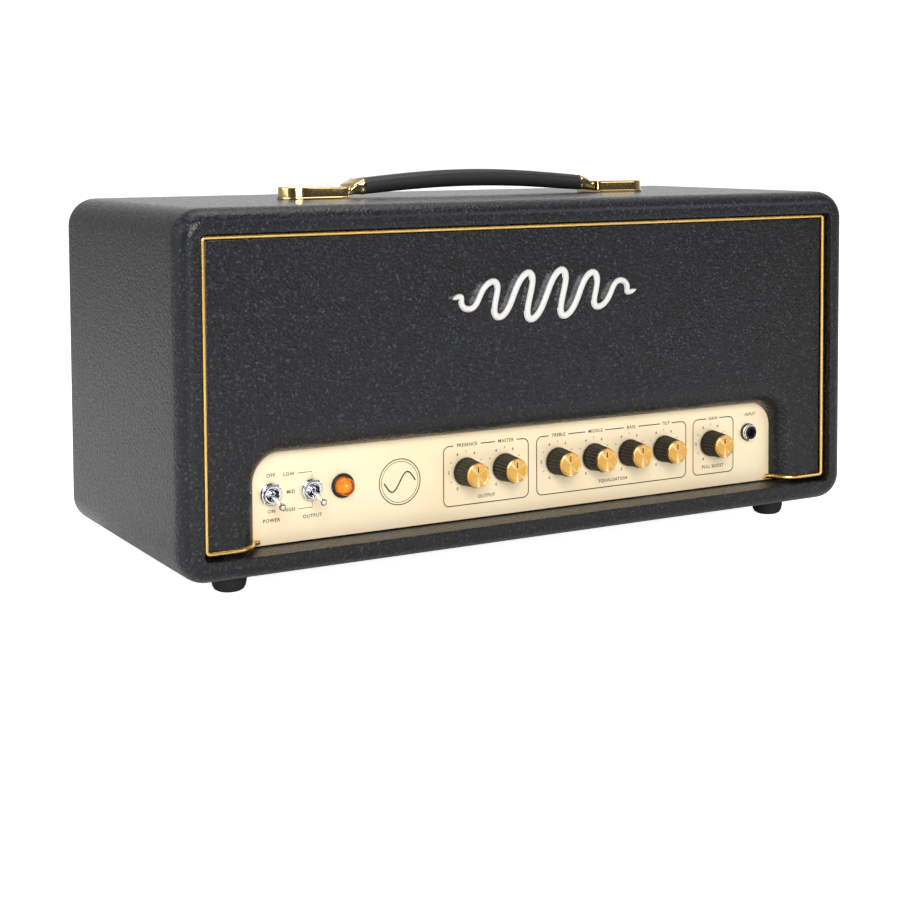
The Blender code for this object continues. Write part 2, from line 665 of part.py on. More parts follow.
def main():
    clear_scene()
    make_materials()
    make_cabinet()
    make_feet()
    make_baffle()
    make_battens()
    make_piping()
    make_badge()
    make_panel_and_chassis()
    make_controls()
    make_jacks()
    make_inlet()
    make_deck_parts()
    make_rear_cover()
    make_handle()


main()
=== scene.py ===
"""Looks of the valve guitar amplifier head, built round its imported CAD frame.

Frame: +X to the right seen from the front, the front faces -Y, +Z up. Units: metres.
"""

from math import asin, cos, hypot, pi, radians, sin, sqrt

import bmesh
import bpy
from mathutils import Matrix, Vector


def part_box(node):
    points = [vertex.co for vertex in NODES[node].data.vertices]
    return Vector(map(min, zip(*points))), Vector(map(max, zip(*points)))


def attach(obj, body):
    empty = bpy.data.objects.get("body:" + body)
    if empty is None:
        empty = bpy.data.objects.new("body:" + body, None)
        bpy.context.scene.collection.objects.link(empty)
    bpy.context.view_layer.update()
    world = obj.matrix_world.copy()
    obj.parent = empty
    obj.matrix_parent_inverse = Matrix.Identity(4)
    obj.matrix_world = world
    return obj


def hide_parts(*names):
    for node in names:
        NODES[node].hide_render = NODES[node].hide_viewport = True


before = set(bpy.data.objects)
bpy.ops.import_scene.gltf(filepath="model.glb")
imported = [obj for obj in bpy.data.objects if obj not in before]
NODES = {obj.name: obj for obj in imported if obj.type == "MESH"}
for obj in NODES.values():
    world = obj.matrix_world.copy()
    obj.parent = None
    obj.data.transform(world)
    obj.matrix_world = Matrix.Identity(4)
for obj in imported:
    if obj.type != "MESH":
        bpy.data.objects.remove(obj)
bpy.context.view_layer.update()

MM = 0.001
PER_MM = 1000
KNOBS = ("presence", "master", "treble", "middle", "bass", "tilt", "gain")
SWITCHES = ("power", "output")
SIDES = {"left": -1, "right": 1}


def middle_of(node):
    low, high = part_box(node)
    return (low + high) / 2


# ---------------------------------------------------------------- places read from the frame

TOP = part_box("cabinet_top")[1].z
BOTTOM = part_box("cabinet_bottom")[0].z
FRONT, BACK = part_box("cabinet_top")[0].y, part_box("cabinet_top")[1].y
HALF_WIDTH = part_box("cabinet_right")[1].x
HALF_HEIGHT = (TOP - BOTTOM) / 2
MIDDLE_Z = (TOP + BOTTOM) / 2
WALL = HALF_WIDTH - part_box("cabinet_right")[0].x
TOP_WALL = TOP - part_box("cabinet_top")[0].z
BAFFLE_LOW, BAFFLE_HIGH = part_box("front_baffle")
PANEL_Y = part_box("control_panel")[0].y
CONTROL_Z = middle_of("presence_knob").z
HANDLE_Y = middle_of("handle_strap").y
CUTOUT_HALF, CUTOUT_TOP, CUTOUT_CORNER = 206.5 * MM, 86.7 * MM, 18 * MM
GAP = 0.3 * MM


# ---------------------------------------------------------------- node materials

def feed(tree, socket, value):
    """Links a socket to another one, or gives it a value."""
    if isinstance(value, bpy.types.NodeSocket):
        tree.links.new(value, socket)
    else:
        socket.default_value = value


def add_node(tree, kind, settings=None, **inputs):
    """A node with its properties set and its named inputs fed."""
    node = tree.nodes.new("ShaderNode" + kind)
    for name, value in (settings or {}).items():
        setattr(node, name, value)
    for name, value in inputs.items():
        feed(tree, node.inputs[name.replace("_", " ")], value)
    return node


def start_material(name, **constants):
    """A material, its tree and its shader, with the constants set on the shader's own sockets."""
    material = bpy.data.materials.new(name)
    material.use_nodes = True
    tree = material.node_tree
    shader = tree.nodes["Principled BSDF"]
    for socket, value in constants.items():
        shader.inputs[socket.replace("_", " ")].default_value = value
    return material, tree, shader


def space(tree, stretch=(1, 1, 1)):
    """Object coordinates in millimetres, stretched."""
    coordinates = add_node(tree, "TexCoord").outputs["Object"]
    scale = [PER_MM * factor for factor in stretch]
    return add_node(tree, "Mapping", Vector=coordinates, Scale=scale).outputs["Vector"]


def noise(tree, vector, scale, detail=2.0, roughness=0.5):
    return add_node(tree, "TexNoise", Vector=vector, Scale=scale, Detail=detail,
                    Roughness=roughness).outputs["Fac"]


def cells(tree, vector, scale, feature="F1"):
    return add_node(tree, "TexVoronoi", {"feature": feature}, Vector=vector, Scale=scale).outputs["Distance"]


def spread(tree, value, low, high, out_low=0.0, out_high=1.0):
    """Maps low..high of a value to out_low..out_high, clamped."""
    return add_node(tree, "MapRange", Value=value, From_Min=low, From_Max=high, To_Min=out_low,
                    To_Max=out_high).outputs["Result"]


def blend_colours(tree, factor, first, second):
    node = add_node(tree, "Mix", {"data_type": "RGBA"})
    feed(tree, node.inputs[0], factor)
    for index, colour in ((6, first), (7, second)):
        feed(tree, node.inputs[index], (*colour, 1) if isinstance(colour, tuple) else colour)
    return node.outputs[2]


def calculate(tree, operation, *terms, kind="Math", output=0):
    node = add_node(tree, kind, {"operation": operation})
    for socket, value in zip(node.inputs, terms):
        feed(tree, socket, value)
    return node.outputs[output]


def relief(tree, height, depth, strength=1.0):
    """A bump normal from a 0..1 height, its depth in millimetres."""
    return add_node(tree, "Bump", Height=height, Distance=depth * MM, Strength=strength).outputs["Normal"]


def connect(tree, shader, **sockets):
    for name, source in sockets.items():
        tree.links.new(source, shader.inputs[name.replace("_", " ")])


def make_vinyl():
    """Black vinyl with a fine pebble grain; a few pebble tops carry painted highlights as pale specks."""
    material, tree, shader = start_material(
        "pebbled_vinyl", IOR=1.46, Specular_IOR_Level=0.20, Coat_Weight=0.46, Coat_Roughness=0.22,
        Coat_IOR=1.5)
    place = space(tree)
    moved = calculate(tree, "ADD", place, noise(tree, place, 0.35, 3.0), kind="VectorMath")
    pebbles = cells(tree, moved, 0.62, "SMOOTH_F1")
    crumbs_and_painted_specks = noise(tree, place, 0.60, 4.0, 0.55)
    wrinkles = noise(tree, place, 0.30, 3.0, 0.55)
    grain = calculate(tree, "MULTIPLY", pebbles, -0.8)
    grain = calculate(tree, "MULTIPLY_ADD", crumbs_and_painted_specks, 0.9, grain)
    grain = calculate(tree, "MULTIPLY_ADD", wrinkles, 0.8, grain)
    dark, black = (0.0060, 0.0066, 0.0085), (0.0020, 0.0023, 0.0032)
    tone = blend_colours(tree, spread(tree, grain, 0.2, 0.8), black, dark)
    # painted highlights: pale specks on the crumb tops, set in the colour
    tone = blend_colours(tree, spread(tree, crumbs_and_painted_specks, 0.58, 0.66), tone, (0.050, 0.053, 0.060))
    patches = spread(tree, noise(tree, place, 0.012, 2.0), 0.35, 0.7, 0.0, 0.25)
    tone = blend_colours(tree, patches, tone, (0.010, 0.0108, 0.0130))
    connect(tree, shader, Base_Color=tone, Roughness=spread(tree, grain, 0.1, 0.9, 0.50, 0.30),
            Normal=relief(tree, grain, 1.0), Coat_Normal=relief(tree, grain, 0.22))
    return material


def make_metal(name, colour, stain, gloss, scratch=0.01, scale=0.5):
    """Polished or plated metal: patchy gloss, hair scratches, a second tone in the patches."""
    material, tree, shader = start_material(name, Metallic=1.0)
    patches = noise(tree, space(tree), scale, 4.0, 0.6)
    hairs = noise(tree, space(tree, (0.25, 3, 3)), 1.1, 3.0, 0.7)
    tone = blend_colours(tree, spread(tree, patches, 0.4, 0.75), colour, stain)
    rough = spread(tree, calculate(tree, "MULTIPLY", patches, hairs), 0.12, 0.42, *gloss)
    connect(tree, shader, Base_Color=tone, Roughness=rough, Normal=relief(tree, hairs, scratch, 0.5))
    return material


def make_brushed(name, colour, stain, gloss, stretch, **constants):
    """Brushed or satin metal, its fine lines running along the axis that is stretched least."""
    material, tree, shader = start_material(name, **{"Metallic": 1.0, **constants})
    lines = noise(tree, space(tree, stretch), 1.0, 5.0, 0.7)
    clouds = noise(tree, space(tree), 0.02, 2.0)
    tone = blend_colours(tree, spread(tree, clouds, 0.35, 0.7), colour, stain)
    connect(tree, shader, Base_Color=tone, Roughness=spread(tree, lines, 0.3, 0.75, *gloss),
            Normal=relief(tree, lines, 0.01, 0.35))
    return material


def make_plastic(name, colour, worn, gloss, grain_scale=1.5, depth=0.02, **constants):
    """Moulded plastic or rubber: a fine matt grain, and edges rubbed towards a second tone."""
    material, tree, shader = start_material(name, **constants)
    place = space(tree)
    grain = noise(tree, place, grain_scale, 4.0, 0.6)
    smears = noise(tree, place, 0.09, 3.0)
    edges = spread(tree, add_node(tree, "NewGeometry").outputs["Pointiness"], 0.52, 0.62)
    rubbed = calculate(tree, "MULTIPLY", edges, spread(tree, grain, 0.35, 0.65))
    rough = spread(tree, calculate(tree, "ADD", grain, smears), 0.7, 1.3, *gloss)
    connect(tree, shader, Base_Color=blend_colours(tree, rubbed, colour, worn), Roughness=rough,
            Normal=relief(tree, grain, depth, 0.6))
    return material


def make_patterned(name, pattern, colour, stain, tone_range, gloss, gloss_range=(0.3, 0.7), bump=None,
                   **constants):
    """A finish from one noise pattern, which sets its two tones, its roughness and its bump."""
    material, tree, shader = start_material(name, **constants)
    stretch, *settings = pattern
    field = noise(tree, space(tree, stretch), *settings)
    connect(tree, shader, Base_Color=blend_colours(tree, spread(tree, field, *tone_range), colour, stain),
            Roughness=spread(tree, field, *gloss_range, *gloss))
    if bump:
        connect(tree, shader, Normal=relief(tree, field, *bump))
    return material


def make_circuit_board():
    """Green solder resist with darker tracks."""
    material, tree, shader = start_material("solder_resist")
    place = space(tree)
    tracks = cells(tree, place, 0.12, "DISTANCE_TO_EDGE")
    tone = blend_colours(tree, spread(tree, tracks, 0.03, 0.06), (0.10, 0.30, 0.14), (0.03, 0.14, 0.06))
    rough = spread(tree, noise(tree, place, 0.4), 0.3, 0.7, 0.25, 0.45)
    connect(tree, shader, Base_Color=tone, Roughness=rough, Normal=relief(tree, tracks, 0.05, 0.4))
    return material


EVEN = (1, 1, 1)

# Each finish is a material and the slot of the frame that it stands for
VINYL = make_vinyl(), "vinyl_board"
TIMBER = make_patterned("softwood", ((1, 1, 0.06), 0.35, 4.0, 0.6), (0.42, 0.27, 0.14), (0.24, 0.14, 0.07),
                        (0.3, 0.7), (0.6, 0.8), bump=(0.1, 0.6)), "timber"
GOLD_BEAD = make_metal("gold_piping", (0.92, 0.60, 0.20), (0.86, 0.52, 0.15), (0.24, 0.34), 0.001,
                       0.15), "gold_trim"
GOLD = make_metal("polished_gold", (0.86, 0.64, 0.31), (0.80, 0.55, 0.22), (0.06, 0.16), 0.006), "gold_metal"
PANEL_GOLD = make_brushed("satin_gold", (0.95, 0.79, 0.54), (0.92, 0.75, 0.49), (0.34, 0.42), (0.12, 1, 9),
                          Metallic=0.2), "gold_panel"
CHROME = make_metal("chrome_plate", (0.82, 0.83, 0.85), (0.72, 0.73, 0.75), (0.05, 0.14), 0.006), "chrome"
STEEL = make_brushed("zinc_steel", (0.56, 0.57, 0.58), (0.48, 0.49, 0.50), (0.30, 0.5), (0.3, 3, 3)), "steel"
ALUMINIUM = make_brushed("spun_aluminium", (0.74, 0.75, 0.76), (0.66, 0.67, 0.68), (0.28, 0.4),
                         (3, 3, 0.3)), "aluminium"
BLACK_STEEL = make_plastic("black_powder_coat", (0.014, 0.014, 0.015), (0.05, 0.05, 0.05), (0.38, 0.55), 2.2,
                           0.05), "black_steel"
BLACK_PLASTIC = make_plastic("black_moulding", (0.010, 0.010, 0.011), (0.04, 0.04, 0.04),
                             (0.26, 0.42)), "black_plastic"
KNOB_PLASTIC = make_plastic("knob_moulding", (0.007, 0.006, 0.005), (0.034, 0.026, 0.018), (0.30, 0.44), 1.2,
                            0.01, Specular_IOR_Level=0.3), "knob_plastic"
CREAM = make_plastic("cream_moulding", (0.64, 0.63, 0.59), (0.70, 0.69, 0.66), (0.28, 0.42), 0.8,
                     0.01), "badge_plastic"
STRAP = make_plastic("satin_strap", (0.011, 0.011, 0.012), (0.040, 0.040, 0.043), (0.48, 0.62), 1.8,
                     0.06), "rubber"
RUBBER = make_plastic("foot_rubber", (0.012, 0.012, 0.013), (0.05, 0.05, 0.05), (0.55, 0.75), 1.5,
                      0.08), "rubber"
BOARD = make_circuit_board(), "circuit_board"
AMBER = make_patterned("amber_glass", (EVEN, 0.5, 3.0), (1.0, 0.36, 0.015), (0.95, 0.22, 0.006), (0.35, 0.65),
                       (0.02, 0.08), bump=(0.1, 0.3), IOR=1.45, Transmission_Weight=0.9,
                       Emission_Color=(1.0, 0.22, 0.01, 1), Emission_Strength=0.10), "amber_lens"
BULB = make_patterned("frosted_bulb", (EVEN, 1.5, 3.0), (0.9, 0.8, 0.6), (0.7, 0.6, 0.4), (0, 1),
                      (0.25, 0.45), Emission_Color=(1.0, 0.55, 0.2, 1), Emission_Strength=0.5), "amber_lens"
GLASS = make_patterned("valve_envelope", (EVEN, 0.2, 3.0), (0.98, 1.0, 0.99), (0.90, 0.93, 0.93), (0, 1),
                       (0.0, 0.15), (0.35, 0.8), (0.02, 0.3), IOR=1.47,
                       Transmission_Weight=1.0), "valve_glass"
INK = make_patterned("dark_print", (EVEN, 2.5, 3.0, 0.6), (0.040, 0.026, 0.016), (0.11, 0.080, 0.045),
                     (0.5, 0.8), (0.45, 0.65)), "gold_panel"


# ---------------------------------------------------------------- meshes

def angles(start, end, steps):
    return [start + (end - start) * step / steps for step in range(steps + 1)]


def scaled(points):
    return [tuple(value * MM for value in point) for point in points]


def quarter_round(start, end, steps):
    """How far points on a quarter round lie from its two tangents, in radii."""
    return [(1 - cos(a), 1 - sin(a)) for a in angles(start, end, steps)]


def mirrored(points):
    """Points, and then their mirror images across x = 0 in reverse order."""
    return points + [(-point[0], *point[1:]) for point in reversed(points)]


def add_object(name, data):
    obj = bpy.data.objects.new(name, data)
    bpy.context.collection.objects.link(obj)
    return obj


def add_piece(name, bm, finish, replaced=(), location=(0, 0, 0), rotation=(0, 0, 0), body="head", slot=None,
              smooth_angle=35):
    """Turns a mesh into a named piece with its finish's material, riding on a body."""
    material, own_slot = finish
    bmesh.ops.recalc_face_normals(bm, faces=bm.faces)
    mesh = bpy.data.meshes.new(name)
    bm.to_mesh(mesh)
    bm.free()
    mesh.materials.append(material)
    mesh.shade_smooth()
    mesh.set_sharp_from_angle(angle=radians(smooth_angle))
    obj = add_object(name, mesh)
    obj.location = location
    obj.rotation_euler = rotation
    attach(obj, body)
    slot = slot or own_slot
    if replaced:
        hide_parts(*replaced)


def bridge(bm, rings, wrap):
    """Faces between successive rings of vertices, where a ring may be one point; wrap joins the ends."""
    for near, far in zip(rings, rings[1:] + rings[:1] if wrap else rings[1:]):
        steps = max(len(near), len(far))
        for index in range(steps):
            after = (index + 1) % steps
            if len(near) == 1:
                bm.faces.new((near[0], far[after], far[index]))
            elif len(far) == 1:
                bm.faces.new((near[index], near[after], far[0]))
            else:
                bm.faces.new((near[index], near[after], far[after], far[index]))


def loft(rings, wrap=False, bm=None):
    """A closed skin through rings of points: capped at both ends, or wrapped round on itself."""
    bm = bm or bmesh.new()
    loops = [[bm.verts.new(point) for point in ring] for ring in rings]
    bridge(bm, loops, wrap)
    if not wrap:
        bm.faces.new(loops[0])
        bm.faces.new(list(reversed(loops[-1])))
    return bm


def lathe(profile, steps=64, closed=False, shape=None, bm=None):
    """Turns (radius, height) points about Z. shape(radius, height, angle) may move each point.

    Ends that lie on the axis close to a point; a closed profile makes a ring with a bore.
    """
    bm = bm or bmesh.new()
    turns = angles(0, 2 * pi, steps)[:-1]
    rings = []
    for radius, height in profile:
        if radius == 0:
            rings.append([bm.verts.new((0, 0, height))])
            continue
        points = [(shape(radius, height, a) if shape else (radius, height)) + (a,) for a in turns]
        rings.append([bm.verts.new((r * cos(a), r * sin(a), z)) for r, z, a in points])
    bridge(bm, rings, closed)
    return bm


def rounded(profile, radius, steps=3):
    """Replaces each inner corner of an open profile by a small arc."""
    out = [profile[0]]
    for before, corner, after in zip(profile, profile[1:], profile[2:]):
        start, end = Vector(corner) - Vector(before), Vector(after) - Vector(corner)
        reach = min(radius, start.length / 2.1, end.length / 2.1)
        near = Vector(corner) - start.normalized() * reach
        far = Vector(corner) + end.normalized() * reach
        for step in range(steps + 1):
            t = step / steps
            point = near * (1 - t) ** 2 + Vector(corner) * 2 * t * (1 - t) + far * t ** 2
            out.append((point.x, point.y))
    return out + [profile[-1]]


def sweep(points, section, bm=None, upright=Vector((0, 0, 1))):
    """Carries a closed (across, up) section along a path; section(index) gives its points there."""
    rings = []
    for index, point in enumerate(points):
        before, after = points[max(index - 1, 0)], points[min(index + 1, len(points) - 1)]
        along = (Vector(after) - Vector(before)).normalized()
        across = along.cross(upright).normalized()
        up = across.cross(along)
        rings.append([Vector(point) + across * a + up * b for a, b in section(index)])
    return loft(rings, bm=bm)


def arc(x, y, radius, start, end, steps, rise=None):
    """Points on an arc round (x, y), or on an ellipse's if its second radius, rise, is given."""
    return [(x + radius * cos(a), y + (rise or radius) * sin(a)) for a in angles(start, end, steps)]


def circle(radius, steps, x=0, y=0):
    return arc(x, y, radius, 0, 2 * pi, steps)[:-1]


def rounded_rectangle(half_width, half_height, radius, steps, runs):
    """Points round a rectangle with arcs at its corners and each straight side in a few runs."""
    corners = [arc(sx * (half_width - radius), sz * (half_height - radius), radius, turn * pi / 2,
                   (turn + 1) * pi / 2, steps)
               for turn, (sx, sz) in enumerate(((1, 1), (-1, 1), (-1, -1), (1, -1)))]
    points = []
    for corner, following in zip(corners, corners[1:] + corners[:1]):
        (x, z), (end_x, end_z) = corner[-1], following[0]
        points += corner + [(x + (end_x - x) * k / runs, z + (end_z - z) * k / runs) for k in range(1, runs)]
    return points


def on_panel(x, z=CONTROL_Z):
    """Placing for a piece built with its own +Z pointing out of the control panel's face."""
    return {"location": (x, PANEL_Y, z), "rotation": (pi / 2, 0, 0)}


def add_box(bm, low, high, bevel=0.0):
    """A box with rounded edges added to a mesh under construction."""
    verts = bmesh.ops.create_cube(bm, size=1)["verts"]
    bmesh.ops.scale(bm, vec=Vector(high) - Vector(low), verts=verts)
    bmesh.ops.translate(bm, vec=(Vector(high) + Vector(low)) / 2, verts=verts)
    if bevel:
        edges = list({edge for vert in verts for edge in vert.link_edges})
        bmesh.ops.bevel(bm, geom=edges, offset=bevel, segments=3, affect="EDGES", profile=0.5)
    return bm


def add_block(bm, centre, low, high, bevel=0.0):
    """A box between two corners that are given in millimetres from a centre."""
    return add_box(bm, Vector(centre) + Vector(low) * MM, Vector(centre) + Vector(high) * MM, bevel * MM)


# ---------------------------------------------------------------- cabinet

def make_covering():
    """One vinyl skin round the four boards, over the rounded front and back edges and inside."""
    corner, edge_inset, lip = 19 * MM, 10 * MM, 0.8 * MM
    front, back = 14 * MM, 12 * MM
    length = (BACK - back) - (FRONT + front)
    stations = [(FRONT + front * c, edge_inset * s) for c, s in quarter_round(0, pi / 2, 14)]
    stations += [(FRONT + front + length * k / 12, 0) for k in range(1, 12)]
    stations += [(BACK - back * c, edge_inset * s) for c, s in quarter_round(pi / 2, 0, 12)]
    stations += [(BACK - lip * c, WALL - lip * s) for c, s in quarter_round(0, pi / 2, 4)]
    stations += [(BACK - lip + (FRONT - BACK + 2 * lip) * k / 12, WALL) for k in range(1, 12)]
    stations += [(FRONT + lip * c, WALL - lip * s) for c, s in quarter_round(pi / 2, 0, 4)]
    rings = []
    for y, inset in stations:
        drop = (TOP_WALL - WALL) / 2 if inset > edge_inset else 0
        outline = rounded_rectangle(HALF_WIDTH - inset, HALF_HEIGHT - inset - drop, corner - inset, 10, 14)
        rings.append([(x, y, MIDDLE_Z - drop + z) for x, z in outline])
    boards = ("cabinet_top", "cabinet_bottom", "cabinet_left", "cabinet_right")
    add_piece("cabinet_covering", loft(rings, wrap=True), VINYL, boards)


def make_baffle():
    """The vinyl-covered board, its cut-out's front edge rounded over the board's full thickness."""
    thickness = BAFFLE_HIGH.y - BAFFLE_LOW.y
    half, low, high = BAFFLE_HIGH.x, BAFFLE_LOW.z, BAFFLE_HIGH.z
    rim, border = 0.8 * MM, 1.5 * MM
    centre_x, centre_z = CUTOUT_HALF - CUTOUT_CORNER, CUTOUT_TOP - CUTOUT_CORNER

    def ring(depth, opened, edge):
        radius = CUTOUT_CORNER + opened
        right = [(half - edge, high - edge), (half - edge, low), (centre_x + radius, low)]
        right += arc(centre_x, centre_z, radius, 0, pi / 2, 16)
        return [(x, BAFFLE_LOW.y + depth, z) for x, z in mirrored(right)]
    rings = [ring(0, thickness + border, rim + border)]
    for c, s in quarter_round(0, pi / 2, 24):
        sunk = max(rim - thickness * c, 0)
        rings.append(ring(thickness * c, thickness * s, rim - sqrt(rim * rim - sunk * sunk)))
    add_piece("baffle_covering", loft(rings), VINYL, ["front_baffle"], smooth_angle=50)


def make_piping():
    """Gold bead: starts on the panel, rounds the cut-out's leg and runs round the baffle, mirrored."""
    low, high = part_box("front_piping")
    radius = 1.5 * MM
    half, base, top = high.x - radius, low.z + radius, high.z - radius
    bead_y = low.y + radius
    back_y = PANEL_Y - GAP
    tail_y = back_y - radius
    corner, bend, depth = 2.2 * MM, 2.5 * MM, 16 * MM
    leg = CUTOUT_HALF + depth
    rise = asin((back_y - tail_y + bend) / (back_y - bead_y))
    bend_x = leg - depth * cos(rise) - bend
    path = [(CUTOUT_HALF - 5 * MM, tail_y, base)]
    path += [(bend_x + bend * sin(a), tail_y - bend * (1 - cos(a)), base) for a in angles(0, pi / 2, 8)]
    path += [(leg - depth * cos(a), back_y - (back_y - bead_y) * sin(a), base)
             for a in angles(rise, pi / 2, 16)[1:]]
    path += [(leg + (half - corner - leg) * k / 3, bead_y, base) for k in (1, 2)]
    path += [(half - corner + corner * sin(a), bead_y, base + corner * (1 - cos(a)))
             for a in angles(0, pi / 2, 8)]
    path += [(half - corner + corner * cos(a), bead_y, top - corner * (1 - sin(a)))
             for a in angles(0, pi / 2, 8)]
    bm = sweep(mirrored(path), lambda index: circle(radius, 18), upright=Vector((0, 1, 0.001)))
    add_piece("front_piping_bead", bm, GOLD_BEAD, ["front_piping"], smooth_angle=60)


def wave_path(steps):
    """Centre line of the badge's slanted wave: steep strokes, wide rounded crests."""
    half_length, swing, slant, waves, roundness = 72 * MM, 16 * MM, 0.35, 5.5, 0.35
    centre = middle_of("badge")
    points = []
    for t in angles(-1, 1, steps):
        turn = t * waves * pi
        height = swing * max(cos(t * pi / 2), 0) ** 0.7 * sin(turn)
        x = half_length * (t - roundness * sin(2 * turn) / (waves * pi)) + slant * height
        points.append((centre.x + x, height + centre.z, t))
    return points


def make_badge():
    """A raised wave flourish in cream with a bright metal edge under it."""
    steps = 260
    path = wave_path(steps)
    back = BAFFLE_LOW.y - 0.05 * MM

    def ribbon(section):
        return sweep([(x, back, z) for x, z, _ in path], section, upright=Vector((0, -1, 0)))

    def half_width(index, extra):
        """The stroke swells towards the middle of the wave and has round ends."""
        half = (1.45 + 0.75 * max(cos(path[index][2] * pi / 2), 0) ** 0.5 + extra) * MM
        from_end = min(index, steps - index) / 3
        return half * sqrt(1 - (1 - from_end) ** 2 * 0.97) if from_end < 1 else half

    def edge(index):
        half = half_width(index, 0.35)
        return [(-half, 0), (half, 0), (half, 2.6 * MM), (half - 0.3 * MM, 2.9 * MM),
                (-half + 0.3 * MM, 2.9 * MM), (-half, 2.6 * MM)]

    def face(index):
        half = half_width(index, 0.0)
        crown = [(half * cos(a), (2.9 + 1.5 * sin(a)) * MM) for a in angles(0, pi, 10)]
        return [(-half, 2.4 * MM), (half, 2.4 * MM)] + crown
    add_piece("badge_edge", ribbon(edge), CHROME, ["badge"], slot="badge_plastic")
    add_piece("badge_flourish", ribbon(face), CREAM, smooth_angle=50)


def make_feet():
    """Bowl-shaped rubber feet with a flat tread, a sunk screw and a washer underneath."""
    profile = rounded(scaled([(3.2, 4), (5, 4), (5.1, 0.6), (5.6, 0), (7.2, 0), (9.4, 1.2), (10.5, 3.2),
                              (11.2, 6.5), (11.4, 9.5), (11.4, 12.7), (3.2, 12.7)]), 0.7 * MM)
    screw = scaled([(0, 4.2), (0.9, 4.2), (1.1, 2.9), (3.0, 3.1), (4.3, 4.1), (4.6, 4.6), (0, 4.6)])
    for depth in ("front", "rear"):
        for side in SIDES:
            node = f"foot_{depth}_{side}"
            centre = middle_of(node)
            place = (centre.x, centre.y, 0)
            add_piece(node + "_rubber", lathe(profile, 48, closed=True), RUBBER, [node], place)
            add_piece(node + "_screw", lathe(screw, 24), STEEL, location=place)


# ---------------------------------------------------------------- control panel

INK_Y = PANEL_Y - 0.03 * MM
LINE = 0.7 * MM
CAP_HEIGHT = 2.3 * MM


def label_mesh(bm, text, x, z, height=CAP_HEIGHT, spacing=1.12):
    """Adds plain capitals or numbers, centred on a place on the panel."""
    curve = bpy.data.curves.new("label", "FONT")
    curve.body = text
    curve.size = height / 0.73
    curve.align_x, curve.align_y = "CENTER", "CENTER"
    curve.space_character = spacing
    curve.resolution_u = 3
    curve.offset = 0.06 * MM
    holder = add_object("label", curve)
    mesh = holder.to_mesh()
    mesh.transform(Matrix.Translation((x, INK_Y, z)) @ Matrix.Rotation(pi / 2, 4, "X"))
    bm.from_mesh(mesh)
    holder.to_mesh_clear()
    bpy.data.objects.remove(holder)


def ink_line(bm, points, width=LINE, closed=False):
    """A thin flat line through (x, z) points on the panel."""
    count = len(points)
    sides = []
    for index, (x, z) in enumerate(points):
        after = points[(index + 1) % count] if closed else points[min(index + 1, count - 1)]
        before = points[index - 1] if closed or index else points[0]
        dx, dz = after[0] - before[0], after[1] - before[1]
        size = hypot(dx, dz)
        nx, nz = -dz / size * width / 2, dx / size * width / 2
        sides.append((bm.verts.new((x + nx, INK_Y, z + nz)), bm.verts.new((x - nx, INK_Y, z - nz))))
    for (left, right), (next_left, next_right) in zip(sides, sides[1:] + sides[:1] if closed else sides[1:]):
        bm.faces.new((left, right, next_right, next_left))


def ink_frame(bm, left, right, low, high, gaps, radius=4.2 * MM):
    """A rounded frame line, broken where the labels on its top edge stand."""
    path = [(gaps[0][0], high)]
    for x, z, quarter in ((left + radius, high - radius, 1), (left + radius, low + radius, 2),
                          (right - radius, low + radius, 3), (right - radius, high - radius, 0)):
        path += arc(x, z, radius, quarter * pi / 2, (quarter + 1) * pi / 2, 8)
    ink_line(bm, path + [(gaps[-1][1], high)])
    for (_, start), (end, _) in zip(gaps, gaps[1:]):
        ink_line(bm, [(start, high), (end, high)])


def dial_print(bm, x, radius=13.2 * MM):
    """Numbers from 0 to 10 round a knob, with a tick between each pair."""
    centre_x = x + 0.8 * MM
    for number in range(11):
        a = radians(240 - 30 * number)
        if number % 2:
            inner, outer = radius - 0.8 * MM, radius + 0.8 * MM
            ink_line(bm, [(centre_x + inner * cos(a), CONTROL_Z + inner * sin(a)),
                          (centre_x + outer * cos(a), CONTROL_Z + outer * sin(a))], 0.35 * MM)
        else:
            label_mesh(bm, str(number), centre_x + radius * cos(a), CONTROL_Z + radius * sin(a), 2.0 * MM)


def make_print():
    """All the plain lettering, dial numbers and frame lines on the panel, as one layer of ink."""
    bm = bmesh.new()
    upper, lower = 78.2 * MM, 38 * MM
    # Place and half width of each title, and the frames that they interrupt
    titles = {"PRESENCE": (-50.8, 10.5), "MASTER": (-20.6, 8.6), "TREBLE": (21.7, 8.0), "MIDDLE": (52.2, 8.2),
              "BASS": (82.6, 6.2), "TILT": (112.8, 5.0), "GAIN": (154.8, 5.8)}
    frames = ((-68.8, -2.8, ("PRESENCE", "MASTER")), (3.9, 130.5, ("TREBLE", "MIDDLE", "BASS", "TILT")),
              (137, 173.5, ("GAIN",)))
    gaps = {text: ((x - half) * MM, (x + half) * MM) for text, (x, half) in titles.items()}
    for text, (x, _) in titles.items():
        label_mesh(bm, text, x * MM, upper)
    for left, right, names in frames:
        ink_frame(bm, left * MM, right * MM, lower, upper, [gaps[name] for name in names])
    for text, x, z in (("OUTPUT", -35.9, 42.4), ("EQUALISATION", 67.1, 42.6), ("PULL BOOST", 155.0, 43.2),
                       ("INPUT", 189.0, 78.2), ("OFF", -192.5, 71.9), ("ON", -192.3, 49.2),
                       ("POWER", -192.4, 43.4), ("LOW", -180.2, 71.6), ("MID", -179.0, 60.3),
                       ("HIGH", -180.2, 49.0), ("OUTPUT", -164.2, 43.4)):
        label_mesh(bm, text, x * MM, z * MM)
    for level, end in ((71.7, 68.2), (48.9, 52.6)):
        ink_line(bm, scaled([(-174.0, level), (-164.2, level), (-164.2, end)]), 0.4 * MM)
    for name in KNOBS:
        dial_print(bm, middle_of(name + "_knob").x)
    make_emblem(bm)
    add_piece("panel_print", bm, INK)


